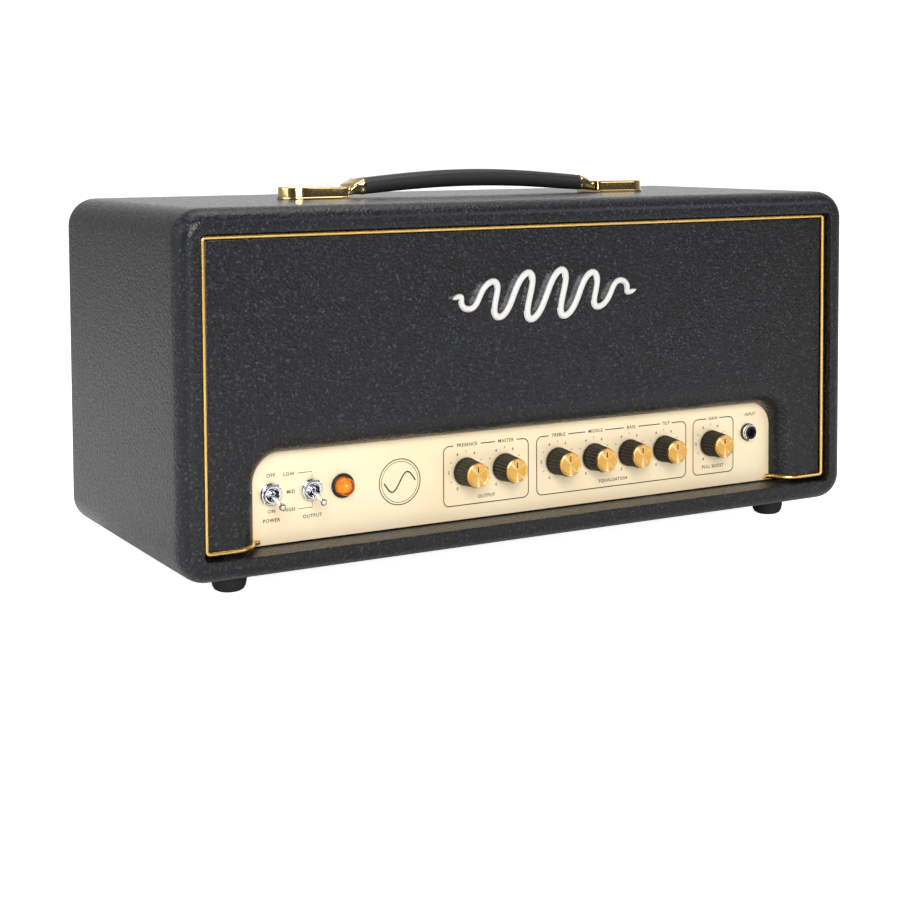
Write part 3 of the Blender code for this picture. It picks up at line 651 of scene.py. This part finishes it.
def make_emblem(bm):
    """A plain printed ornament: two rings with a single sine wave in them."""
    x, z = -101.5 * MM, 58.5 * MM
    for radius, width in ((15 * MM, 0.7 * MM), (13.4 * MM, 0.4 * MM)):
        ink_line(bm, circle(radius, 64, x, z), width, closed=True)
    wave = [(x + 11.5 * MM * t, z + 6.5 * MM * sin(pi * t) * (1 - 0.15 * t * t)) for t in angles(-1, 1, 40)]
    ink_line(bm, wave, 1.0 * MM)


def notched(inner, outer, level, depth, count, width, phase=0.0):
    """A shape for lathe that sinks notches into a ring's face between two radii."""
    def shape(radius, height, angle):
        turn = (angle - phase) % (2 * pi / count)
        near = min(turn, 2 * pi / count - turn) * radius < width / 2
        if near and inner <= radius <= outer and height >= level:
            return radius, height - depth
        return radius, height
    return shape


def make_switches():
    """Each toggle: round nut with four notches, threaded bushing, can behind and a ball-ended lever."""
    nut = rounded(scaled([(6.0, 0.3), (7.5, 0.3), (7.5, 2.2), (6.9, 3.3), (6.0, 3.5), (6.0, 0.3)]), 0.25 * MM)
    notches = notched(5.9 * MM, 7.2 * MM, 2.6 * MM, 0.9 * MM, 4, 2.0 * MM, pi / 4)
    outside = [(5.8, -1.0 + 0.14 * k) for k in range(40)]
    bushing = scaled([(0, -1.0)] + outside + [(5.3, 4.9), (4.6, 4.9), (4.2, 4.5), (4.1, 1.5), (4.1, -3.1),
                                              (0, -3.1)])
    pitch, depth = 0.75 * MM, 0.18 * MM

    def thread(radius, height, angle):
        if radius < 5.7 * MM:
            return radius, height
        return radius - depth * (0.5 + 0.5 * cos(2 * pi * height / pitch + angle)), height
    for name in SWITCHES:
        x = middle_of(name + "_switch_nut").x
        place = on_panel(x)
        add_piece(name + "_nut_ring", lathe(nut[:-1], 96, closed=True, shape=notches), CHROME,
                  [name + "_switch_nut"], **place)
        add_piece(name + "_bushing", lathe(bushing, 64, shape=thread), CHROME,
                  [name + "_switch"], **place)
        make_switch_body(name, x)
        make_lever(name, x)


def make_switch_body(name, x):
    """The switch's can behind the panel with its three tags."""
    bm = bmesh.new()
    centre = (x, PANEL_Y + 3.4 * MM, CONTROL_Z)
    add_block(bm, centre, (-6.4, 0, -8.4), (6.4, 15, 8.4), 0.8)
    for z in (-5, 0, 5):
        add_block(bm, centre, (-1, 15, z - 0.4), (1, 21, z + 0.4))
    add_piece(name + "_switch_can", bm, STEEL)


def make_lever(name, x):
    """A polished lever with a slim waist and a round end, standing at its rest angle."""
    ball, tip, tip_at, pivot, tilt = 3.5, 2.3, 19.0, 0.8 * MM, radians(15)
    profile = [(ball * sin(a), -ball * cos(a)) for a in angles(0, radians(150), 14)]
    profile += [(1.75, 3.6), (1.5, 5.2), (1.42, 8), (1.45, 12), (1.6, 15.4), (1.65, 16.6)]
    profile += [(tip * sin(a), tip_at - tip * cos(a)) for a in angles(radians(50), pi, 14)]
    profile[0], profile[-1] = (0, profile[0][1]), (0, profile[-1][1])
    body = name + "_lever"
    add_piece(name + "_bat", lathe(scaled(profile), 40), CHROME, [body], body=body, smooth_angle=60,
              location=(x, PANEL_Y - pivot, CONTROL_Z), rotation=(pi / 2 + tilt, 0, 0))


def make_lamp():
    """Pilot lamp: black stepped bezel round a deep well, a clear amber dome over a little bulb."""
    place = on_panel(middle_of("lamp_bezel").x)
    bezel = rounded(scaled([(6.7, -19), (6.8, -6), (6.8, 0.3), (8, 0.3), (8, 1.7), (7.2, 2.6), (6.15, 2.6),
                            (6.0, 1.6), (6.0, -5.9)]), 0.35 * MM)
    bezel = [(0, -19 * MM)] + bezel + [(0, -5.9 * MM)]
    add_piece("lamp_ring", lathe(bezel, 72), BLACK_PLASTIC, ["lamp_bezel"], **place)
    dome = arc(0, 5.4, 5.75, 0, pi / 2, 16, 5.7)
    jewel = scaled([(0, -5.6), (5.5, -5.6), (5.75, -5.2), (5.75, 1.5)] + dome[:-1] + [(0, 11.1)])
    add_piece("lamp_jewel", lathe(jewel, 96), AMBER, ["lamp_lens"], **place, smooth_angle=50)
    tip = arc(0, 3.4, 2.6, -0.6, pi / 2, 10, 2.8)
    bulb = scaled([(0, -4.6), (2.2, -4.6), (2.2, -0.5)] + tip[:-1] + [(0, 6.2)])
    add_piece("lamp_bulb", lathe(bulb, 40), BULB, **place, smooth_angle=50)


def make_jack_ring(name, place, replaced_by_nut, replaced_by_bushing):
    """A quarter-inch socket: black flanged bushing and a slotted chrome ring nut, sprung inside."""
    flange = rounded(scaled([(4.6, -8), (4.6, 0.3), (6.35, 0.3), (6.35, 1.7), (5.9, 2.2), (4.7, 2.3),
                             (4.7, 5.0), (3.5, 5.0), (3.3, 4.6), (3.3, -21.9)]), 0.2 * MM)
    bushing = scaled([(0, -23.9), (4.6, -23.9)]) + flange + scaled([(0, -21.9)])
    add_piece(name + "_bushing", lathe(bushing, 64), BLACK_PLASTIC, replaced_by_bushing,
              **place)
    nut = scaled([(4.85, 2.5), (5.9, 2.5), (5.9, 4.1), (5.5, 4.6), (4.95, 4.6)])
    slots = notched(4.8 * MM, 6 * MM, 3.6 * MM, 0.8 * MM, 2, 1.6 * MM, 0.9)
    add_piece(name + "_ring_nut", lathe(nut, 96, closed=True, shape=slots), CHROME, replaced_by_nut, **place)
    contact = rounded(scaled([(3.25, -1.0), (3.05, -1.2), (2.9, -4), (3.0, -9), (3.25, -9.4)]), 0.2 * MM)
    add_piece(name + "_sleeve_contact", lathe(contact, 48, closed=True), CHROME, **place)


def make_jack_body(name, centre, outward):
    """The jack's square body behind its wall, in two halves with a groove round each."""
    bm = bmesh.new()
    for near, far, half in ((3.4, 8, 8.4), (8, 12, 7.6), (12, 25.8, 8.4)):
        start, end = sorted((-outward * near, -outward * far))
        for low_x, high_x in ((3.5, half), (-half, -3.5)):
            add_block(bm, centre, (low_x, start, -half), (high_x, end, half), 0.4)
    add_piece(name + "_body", bm, BLACK_PLASTIC)


def make_jack_plate(place, half_width, half_height):
    """The rear jack's moulded mounting plate, bored for the bushing, with a screw at each end."""
    outline = rounded_rectangle(half_width, half_height, 2 * MM, 6, 6)
    slimmer = rounded_rectangle(half_width - 0.5 * MM, half_height - 0.5 * MM, 1.5 * MM, 6, 6)
    bore = [(5 * MM * x / hypot(x, y), 5 * MM * y / hypot(x, y)) for x, y in outline]
    levels = ((bore, 0.4), (outline, 0.4), (outline, 1.6), (slimmer, 2.1), (bore, 2.1))
    rings = [[(x, y, z * MM) for x, y in points] for points, z in levels]
    add_piece("speaker_jack_plate", loft(rings, wrap=True), BLACK_PLASTIC, **place)
    head = scaled([(0, 2.0), (2.6, 2.0), (2.5, 2.6), (1.6, 3.2), (0.9, 3.3), (0.8, 2.7), (0, 2.5)])
    bm = bmesh.new()
    for x in (-13 * MM, 13 * MM):
        finished = set(bm.verts)
        lathe(head, 24, bm=bm)
        bmesh.ops.translate(bm, vec=(x, 0, 0), verts=[vert for vert in bm.verts if vert not in finished])
    add_piece("speaker_jack_screws", bm, STEEL, **place)


def make_jacks():
    front = middle_of("input_jack_nut")
    front.y = PANEL_Y
    make_jack_ring("input_jack", on_panel(front.x, front.z), ["input_jack_nut"], ["input_jack"])
    make_jack_body("input_jack", front, -1)
    rear = middle_of("speaker_jack")
    rear.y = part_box("chassis_rear")[1].y
    low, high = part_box("speaker_jack")
    place = {"location": rear, "rotation": (-pi / 2, 0, 0)}
    make_jack_ring("speaker_jack", place, [], ["speaker_jack"])
    make_jack_body("speaker_jack", rear, 1)
    make_jack_plate(place, (high.x - low.x) / 2, (high.z - low.z) / 2)


# ---------------------------------------------------------------- knobs

FLUTES = 26
# Middle and half width of each painted highlight fan on a cap, in turns round it, and its strength
CAP_PAINTED_HIGHLIGHTS = ((0.25, 0.035, 1.0), (0.36, 0.03, 0.45), (0.60, 0.03, 0.3), (0.86, 0.045, 0.8), (0.74, 0.03, 0.35))


def skirt_mesh():
    """The knob's black body: a smooth base flange, a fluted taper and a recess for the cap."""
    def flutes(radius, height, angle):
        if radius < 7.6 * MM:
            return radius, height
        rise = max(0.0, min(1.0, (height - 2.4 * MM) / (1.2 * MM)))
        fade = max(0.0, min(1.0, (16.4 * MM - height) / (0.6 * MM)))
        return radius - 0.62 * MM * rise * fade * abs(sin(FLUTES / 2 * angle)) ** 0.7, height
    profile = [(0, 1.9), (3.2, 1.9), (3.4, 1.6), (7.0, 1.6), (7.4, 1.6), (9.2, 1.5), (9.45, 1.7), (9.5, 2.3),
               (9.4, 2.8)]
    profile += [(9.4 - 1.05 * t, 2.8 + 13.2 * t) for t in angles(0.08, 1, 12)]
    profile += [(8.3, 16.3), (8.15, 16.5), (7.75, 16.6), (7.6, 16.3), (7.5, 16.2), (0, 16.2)]
    return lathe(scaled(profile), FLUTES * 8, shape=flutes)


def cap_mesh():
    """The spun metal cap: turned rim, raised lip and a very shallow dish."""
    face = [(0, 16.3), (7.55, 16.2), (7.95, 16.5), (8.0, 16.8), (8.0, 17.75), (7.9, 18.02), (7.68, 18.15),
            (7.4, 18.12), (7.2, 18.0), (7.0, 17.9), (6.6, 17.85)]
    face += [(radius, 17.85 - 0.012 * (6.6 - radius)) for radius in (5.6, 4.4, 3.2, 2.0, 1.0)]
    return lathe(scaled(face + [(0, 17.77)]), 96)


def spun_cap_material():
    """Gold turned on a lathe: fine rings, and painted highlights as pale fans in the colour where the turning
    would catch the light.
    """
    material, tree, shader = start_material("turned_gold_cap", Metallic=1.0, Anisotropic=0.6)
    place = space(tree)
    tangent = add_node(tree, "Tangent", {"direction_type": "RADIAL", "axis": "Z"}).outputs["Tangent"]
    rings = add_node(tree, "TexWave", {"wave_type": "RINGS", "rings_direction": "Z"}, Vector=place, Scale=1.6,
                     Distortion=0.4).outputs["Fac"]
    around = add_node(tree, "TexGradient", {"gradient_type": "RADIAL"}, Vector=place).outputs["Fac"]
    painted_highlights = 0.0
    for middle, half_width, strength in CAP_PAINTED_HIGHLIGHTS:
        away = calculate(tree, "ABSOLUTE", calculate(tree, "SUBTRACT", around, middle))
        painted_highlights = calculate(tree, "ADD", painted_highlights, spread(tree, away, 0.0, half_width, strength, 0.0))
    tone = blend_colours(tree, rings, (0.84, 0.46, 0.105), (0.90, 0.52, 0.135))
    # painted highlights: pale fans blended into the cap's colour at fixed turns round it
    tone = blend_colours(tree, painted_highlights, tone, (1.0, 0.88, 0.55))
    rough = spread(tree, rings, 0.0, 1.0, 0.26, 0.32)
    connect(tree, shader, Base_Color=tone, Roughness=rough, Tangent=tangent,
            Normal=relief(tree, rings, 0.004, 0.4))
    return material


def make_knobs():
    """Seven knobs alike: skirt, cap, pointer, and the shaft that shows when the knob is pulled."""
    cap_gold = spun_cap_material(), "gold_metal"
    shaft = scaled([(0, -10.6), (2.9, -10.6), (3.0, -10.4), (3.0, 1.7), (0, 1.7)])
    for name in KNOBS:
        body = name + "_knob"
        riding = {**on_panel(middle_of(body).x), "body": body}
        add_piece(body + "_skirt", skirt_mesh(), KNOB_PLASTIC, [body], **riding, smooth_angle=50)
        add_piece(body + "_cap", cap_mesh(), cap_gold, **riding, smooth_angle=30)
        pointer = add_block(bmesh.new(), (0, 0, 0), (-0.42, 2.0, 17.8), (0.42, 5.7, 17.98), 0.06)
        add_piece(body + "_pointer", pointer, BLACK_PLASTIC, **riding, slot="knob_plastic")
        add_piece(body + "_shaft", lathe(shaft, 40), STEEL, **riding)


# ---------------------------------------------------------------- handle

def make_brackets():
    """Polished end caps: base flange with a soft lip, boxed middle with a pocket, rounded outer end."""
    flange, flange_height, edge, draft = 1.5 * MM, 1.2 * MM, 1.2 * MM, 0.6 * MM
    pocket_half, floor, ceiling = 11.2 * MM, 1.6 * MM, 6.4 * MM
    for side, sign in SIDES.items():
        node = "handle_bracket_" + side
        low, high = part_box(node)
        inner, outer = sorted((abs(low.x), abs(high.x)))
        half = (high.y - low.y) / 2
        round_at = outer - half

        def section(half_width):
            wall = half_width - flange
            right = [(half_width, 0.0), (half_width, flange_height * 0.7),
                     (half_width - 0.35 * MM, flange_height), (wall, flange_height + 0.15 * MM),
                     (wall - 0.05 * MM, flange_height + 0.9 * MM)]
            return mirrored(right + [(wall - draft - edge * c, high.z - low.z - edge * s)
                                     for c, s in quarter_round(0, pi / 2, 6)])

        def ring(x, outline):
            return [(sign * x, HANDLE_Y + y, low.z + z) for y, z in outline]
        count = len(section(half)) // 2
        pocket = mirrored([(pocket_half, floor + (ceiling - floor) * k / (count - 1)) for k in range(count)])
        rings = [ring(inner + 20 * MM, pocket), ring(inner + 0.4 * MM, pocket),
                 ring(inner, section(half - 0.2 * MM)), ring(inner + 0.3 * MM, section(half))]
        rings += [ring(inner + (round_at - inner) * k / 6, section(half)) for k in range(1, 6)]
        rings += [ring(round_at + half * sin(a), section(max(half * cos(a), 3.9 * MM)))
                  for a in angles(0, radians(74), 14)]
        add_piece(node + "_cap", loft(rings), GOLD, [node], smooth_angle=38)


def strap_face(x, end, middle):
    """Height of one of the strap's faces at x: an arch between its height at the ends and in the middle."""
    return end + (middle - end) * cos(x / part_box("handle_strap")[1].x * pi / 2)


def strap_faces(x):
    """Heights of the strap's underside and back at x."""
    low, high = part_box("handle_strap")[0].z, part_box("handle_strap")[1].z
    return strap_face(x, low, low + 4.2 * MM), strap_face(x, high - 5.2 * MM, high)


def make_strap():
    """Moulded strap: crowned back, two sewn grooves along it, rounded flanks, softened underside."""
    low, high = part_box("handle_strap")
    end = high.x
    half = (high.y - low.y) / 2
    back = [(1.0, 0.50), (0.985, 0.66), (0.93, 0.79), (0.84, 0.86), (0.76, 0.875), (0.71, 0.855),
            (0.68, 0.83), (0.65, 0.855), (0.60, 0.90), (0.50, 0.95), (0.36, 0.98), (0.20, 0.995), (0.0, 1.0)]
    under = [(0.0, 0.0), (0.4, 0.0), (0.72, 0.02), (0.88, 0.09), (0.965, 0.22), (0.995, 0.36)]
    outline = back + [(-y, z) for y, z in reversed(back[:-1])]
    outline += [(-y, z) for y, z in reversed(under[1:])] + under
    rings = []
    for x in angles(-end, end, 64):
        base, top = strap_faces(x)
        rings.append([(x, HANDLE_Y + half * y, base + (top - base) * z) for y, z in outline])
    add_piece("handle_strap_moulding", loft(rings), STRAP, ["handle_strap"], body="handle",
              smooth_angle=55)
    make_stitches(end, half)


def make_stitches(end, half):
    """Two rows of short stitches lying in the strap's grooves."""
    bm = bmesh.new()
    pitch, margin = 4.2 * MM, 4 * MM
    count = int(2 * (end - margin) / pitch)
    for row in (-1, 1):
        for index in range(count):
            x = -end + margin + (index + 0.5) * pitch
            base, top = strap_faces(x)
            z = base + (top - base) * 0.85
            y = HANDLE_Y + row * half * 0.68
            path = [(x + 1.35 * MM * t, y, z - 0.2 * MM * t * t) for t in angles(-1, 1, 6)]
            sweep(path, lambda i: circle(0.3 * MM * (0.6 + 0.4 * sin(pi * (i + 0.5) / 7)), 8), bm=bm)
    add_piece("handle_stitches", bm, STRAP, body="handle", smooth_angle=60)


def make_ferrules():
    """Gold sleeves over the strap's ends: rolled lip, swept shoulder, ridge at the bracket's mouth."""
    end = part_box("handle_strap")[1].x
    strap_base, strap_top = strap_faces(end)
    gap = 0.3 * MM
    for side, sign in SIDES.items():
        node = "handle_ferrule_" + side
        mouth = abs(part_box("handle_bracket_" + side)[0 if sign > 0 else 1].x)
        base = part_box("handle_bracket_" + side)[0].z
        # Along x: underside, top, half width and edge radius of the sleeve's section
        sections = [
            (end + gap, strap_base + 0.2 * MM, strap_top - 0.6 * MM, 12.0, 2.6),
            (end + gap + 0.5 * MM, strap_base, strap_top - 0.2 * MM, 12.3, 2.8),
            (end + 1.6 * MM, strap_base, strap_top - 0.3 * MM, 12.3, 2.8),
            (end + 2.2 * MM, strap_base + 0.2 * MM, strap_top - 0.9 * MM, 12.0, 2.6),
            (end + 6 * MM, base + 2.4 * MM, strap_top - 2.6 * MM, 11.6, 2.4),
            (end + 9 * MM, base + 2.2 * MM, base + 8.6 * MM, 11.2, 1.8)]
        lip = ((-3.6, 2.0, 6.2, 10.9, 1.2), (-3.0, 1.9, 7.6, 11.1, 1.2), (-1.6, 1.9, 7.6, 11.1, 1.2),
               (-1.0, 2.0, 4.6, 10.4, 0.8), (-0.4, 2.0, 4.0, 10.2, 0.6), (17, 2.0, 4.0, 10.2, 0.6))
        sections += [(mouth + x * MM, base + bottom * MM, base + top * MM, half, edge)
                     for x, bottom, top, half, edge in lip]
        rings = []
        for x, bottom, top, half, edge in sections:
            half, edge = half * MM, min(edge * MM, (top - bottom) / 2.2)
            right = [(half - edge * c, bottom + edge * s) for c, s in quarter_round(pi / 2, 0, 4)]
            right += [(half - edge * c, top - edge * s) for c, s in quarter_round(0, pi / 2, 4)]
            rings.append([(sign * x, HANDLE_Y + y, z) for y, z in mirrored(right)])
        add_piece(node + "_sleeve", loft(rings), GOLD, [node], body="handle", smooth_angle=50)


# ---------------------------------------------------------------- rear and inside

def repaint(finish, *names):
    for name in names:
        slots = NODES[name].data.materials
        slots.clear()
        slots.append(finish[0])


def make_rear_cover():
    """The vinyl rear board with rolled edges, and dished screws along the board and the grille."""
    low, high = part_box("rear_panel")
    bm = bmesh.new()
    add_box(bm, low, high, 1.8 * MM)
    add_piece("rear_board", bm, VINYL, ["rear_panel"])
    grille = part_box("vent_grille")
    screws = [(x * MM, high.y, (low.z + high.z) / 2 + 14 * MM) for x in (-225, -75, 75, 225)]
    screws += [(x * MM, grille[1].y, z) for x in (-238, 238)
               for z in (grille[0].z + 6 * MM, grille[1].z - 6 * MM)]
    cup = scaled([(0, -0.05), (4.6, -0.05), (4.4, 0.7), (3.9, 1.0), (3.5, 0.8), (0, 0.6)])
    head = scaled([(0, 0.5), (3.3, 0.5), (3.2, 1.0), (2.2, 1.6), (1.3, 1.75), (1.1, 1.1), (0, 0.9)])
    for index, place in enumerate(screws):
        rotation = (-pi / 2, 0, 0)
        add_piece(f"rear_cup_{index}", lathe(cup, 32), GOLD, location=place, rotation=rotation)
        add_piece(f"rear_screw_{index}", lathe(head, 24), STEEL, location=place,
                  rotation=rotation)


def make_inlet():
    """Mains inlet with three blades in its recess and a fuse drawer below it."""
    low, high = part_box("mains_inlet")
    centre = (low + high) / 2
    bm = bmesh.new()
    for x, z in ((-5, -1.5), (5, -1.5), (0, 3)):
        add_block(bm, (centre.x, high.y, centre.z), (x - 1, -16, z - 2), (x + 1, -4, z + 2), 0.3)
    add_piece("inlet_blades", bm, CHROME)
    below = (centre.x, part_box("chassis_rear")[1].y, low.z)
    bm = add_block(bmesh.new(), below, (-14, 0.2, -9), (14, 2.6, -1), 0.6)
    add_block(bm, below, (-4, 2.0, -7.5), (4, 3.4, -5.5), 0.3)
    add_piece("fuse_drawer", bm, BLACK_PLASTIC)


def make_valves():
    """Glass envelopes on their sockets, with plates and mica discs inside."""
    for name in ("power_valve_1", "power_valve_2", "preamp_valve_1", "preamp_valve_2", "preamp_valve_3"):
        low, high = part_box(name)
        power = name.startswith("power")
        radius = (high.x - low.x) / 2 - 2 * MM
        height = high.z - low.z
        base = (18 if power else 6) * MM
        place = ((low.x + high.x) / 2, (low.y + high.y) / 2, low.z)
        dome = radius * 0.7
        shoulder = height - dome - 4 * MM
        outside = [(radius * 0.96, base - 2 * MM), (radius, base + 1 * MM), (radius, shoulder * 0.6)]
        outside += [(radius * cos(a), shoulder + dome * sin(a)) for a in angles(0, radians(72), 10)]
        outside += [(2.0 * MM, height - 2.2 * MM), (1.3 * MM, height - 0.4 * MM)]
        shell = [(0, base - 2 * MM)] + outside + [(0, height)]
        add_piece(name + "_envelope", lathe(shell, 48), GLASS, [name], place)
        socket = rounded(scaled([(0.01, 0)]) + [(radius + 2 * MM, 0), (radius + 2 * MM, base * 0.85),
                         (radius + 0.8 * MM, base), (radius * 0.5, base)], 0.6 * MM)
        socket = [(0, 0)] + socket[1:] + [(0, base)]
        add_piece(name + "_base", lathe(socket, 40), BLACK_PLASTIC, location=place)
        plate_half, plate_low, plate_high = radius * 0.5, base + 5 * MM, shoulder - 4 * MM
        bm = bmesh.new()
        add_box(bm, (-plate_half, -plate_half * 0.7, plate_low), (plate_half, plate_half * 0.7, plate_high),
                0.8 * MM)
        disc, half_thick = radius * 0.86, 0.2 * MM
        for z in (plate_low - 1.2 * MM, plate_high + 1.2 * MM):
            low, high = z - half_thick, z + half_thick
            lathe([(0, low), (disc, low), (disc, high), (0, high)], 24, bm=bm)
        add_piece(name + "_electrodes", bm, STEEL, location=place)


def repaint_inside():
    """The CAD nodes that stay in view keep their shape and get the real finishes."""
    repaint(TIMBER, "baffle_batten_left", "baffle_batten_right")
    repaint(PANEL_GOLD, "control_panel")
    repaint(STEEL, "chassis_deck", "gain_plunger", *[name + "_pot" for name in KNOBS])
    repaint(BLACK_STEEL, "chassis_front", "chassis_rear", "vent_grille", "mains_transformer",
            "output_transformer")
    repaint(ALUMINIUM, "filter_capacitor")
    repaint(BOARD, "main_board")
    repaint(BLACK_PLASTIC, "mains_inlet")


# ---------------------------------------------------------------- stage, light and camera

def make_floor():
    """A wide pale floor, darker far in front of the object and lifted to white for the camera."""
    bm = bmesh.new()
    bmesh.ops.create_circle(bm, cap_ends=True, radius=9.0, segments=96)
    mesh = bpy.data.meshes.new("studio_floor")
    bm.to_mesh(mesh)
    bm.free()
    material, tree, shader = start_material("pale_floor", Specular_IOR_Level=0.2, Emission_Color=(1, 1, 1, 1))
    clouds = noise(tree, space(tree), 0.004, 2.0)
    place = add_node(tree, "NewGeometry").outputs["Position"]
    far = spread(tree, add_node(tree, "SeparateXYZ", Vector=place).outputs["Y"], -1.3, -2.4)
    near_tone = blend_colours(tree, clouds, (0.90, 0.90, 0.90), (0.93, 0.93, 0.93))
    tone = blend_colours(tree, far, near_tone, (0.10, 0.10, 0.10))
    camera_ray = add_node(tree, "LightPath").outputs["Is Camera Ray"]
    lift = calculate(tree, "MULTIPLY", camera_ray, spread(tree, far, 0.0, 1.0, 0.93, 1.0))
    rough = spread(tree, clouds, 0.3, 0.7, 0.6, 0.7)
    connect(tree, shader, Base_Color=tone, Roughness=rough, Emission_Strength=lift)
    mesh.materials.append(material)
    floor = add_object("studio_floor", mesh)


def make_world():
    """A bright room: a glowing backdrop behind right, dim in front, and plain white to the camera."""
    world = bpy.data.worlds.new("studio")
    bpy.context.scene.world = world
    world.use_nodes = True
    tree = world.node_tree
    background = tree.nodes["Background"]
    background.inputs["Color"].default_value = (1, 1, 1, 1)
    direction = add_node(tree, "TexCoord").outputs["Generated"]
    depth = add_node(tree, "SeparateXYZ", Vector=direction).outputs["Y"]
    room = spread(tree, depth, -0.6, 0.3, 0.06, 0.36)
    backdrop = (0.55, 0.83, 0.05)
    towards = calculate(tree, "DOT_PRODUCT", direction, backdrop, kind="VectorMath", output=1)
    glow = spread(tree, towards, 0.80, 0.95, 0.0, 0.7)
    seen = add_node(tree, "LightPath").outputs["Is Camera Ray"]
    strength = calculate(tree, "MAXIMUM", calculate(tree, "ADD", room, glow), seen)
    tree.links.new(strength, background.inputs["Strength"])


def add_softbox(name, place, aim, size, power, colour=(1, 1, 1)):
    light = bpy.data.lights.new(name, "AREA")
    light.shape = "RECTANGLE"
    light.size, light.size_y = size
    light.energy = power
    light.color = colour
    lamp = add_object(name, light)
    lamp.location = place
    lamp.rotation_euler = (Vector(aim) - Vector(place)).to_track_quat("-Z", "Y").to_euler()


def make_lights():
    target = (0, 0, 0.12)
    add_softbox("left_softbox", (-2.2, 0.2, 1.1), target, (1.6, 1.6), 13, (0.92, 0.96, 1.0))
    add_softbox("right_softbox", (1.7, -2.0, 1.35), target, (1.6, 1.1), 14)
    add_softbox("front_softbox", (-1.0, -2.6, 1.3), target, (1.4, 1.4), 80)
    add_softbox("top_softbox", (0.0, 0.3, 2.4), target, (2.0, 1.4), 30)


def make_camera():
    """The viewing angle: from the front left, a little above, with the frame shifted down."""
    camera = bpy.data.cameras.new("camera")
    camera.sensor_width = 36
    camera.lens = 68.6208
    camera.shift_y = -0.23333
    camera.clip_end = 60
    yaw, pitch, roll = 0.51537, 0.05940, -0.00560
    obj = add_object("camera", camera)
    turn = (Matrix.Rotation(-yaw, 4, "Z") @ Matrix.Rotation(pi / 2 - pitch, 4, "X")
            @ Matrix.Rotation(roll, 4, "Z"))
    obj.matrix_world = Matrix.Translation((-0.61710, -1.06756, 0.28175)) @ turn
    bpy.context.scene.camera = obj


def main():
    for make in (make_camera, make_covering, make_baffle, make_piping, make_badge, make_feet, make_print,
                 make_switches, make_lamp, make_jacks, make_knobs, make_brackets, make_strap, make_ferrules,
                 make_rear_cover, make_inlet, make_valves, repaint_inside, make_floor, make_world,
                 make_lights):
        make()
    bpy.context.scene.view_settings.view_transform = "Standard"


main()
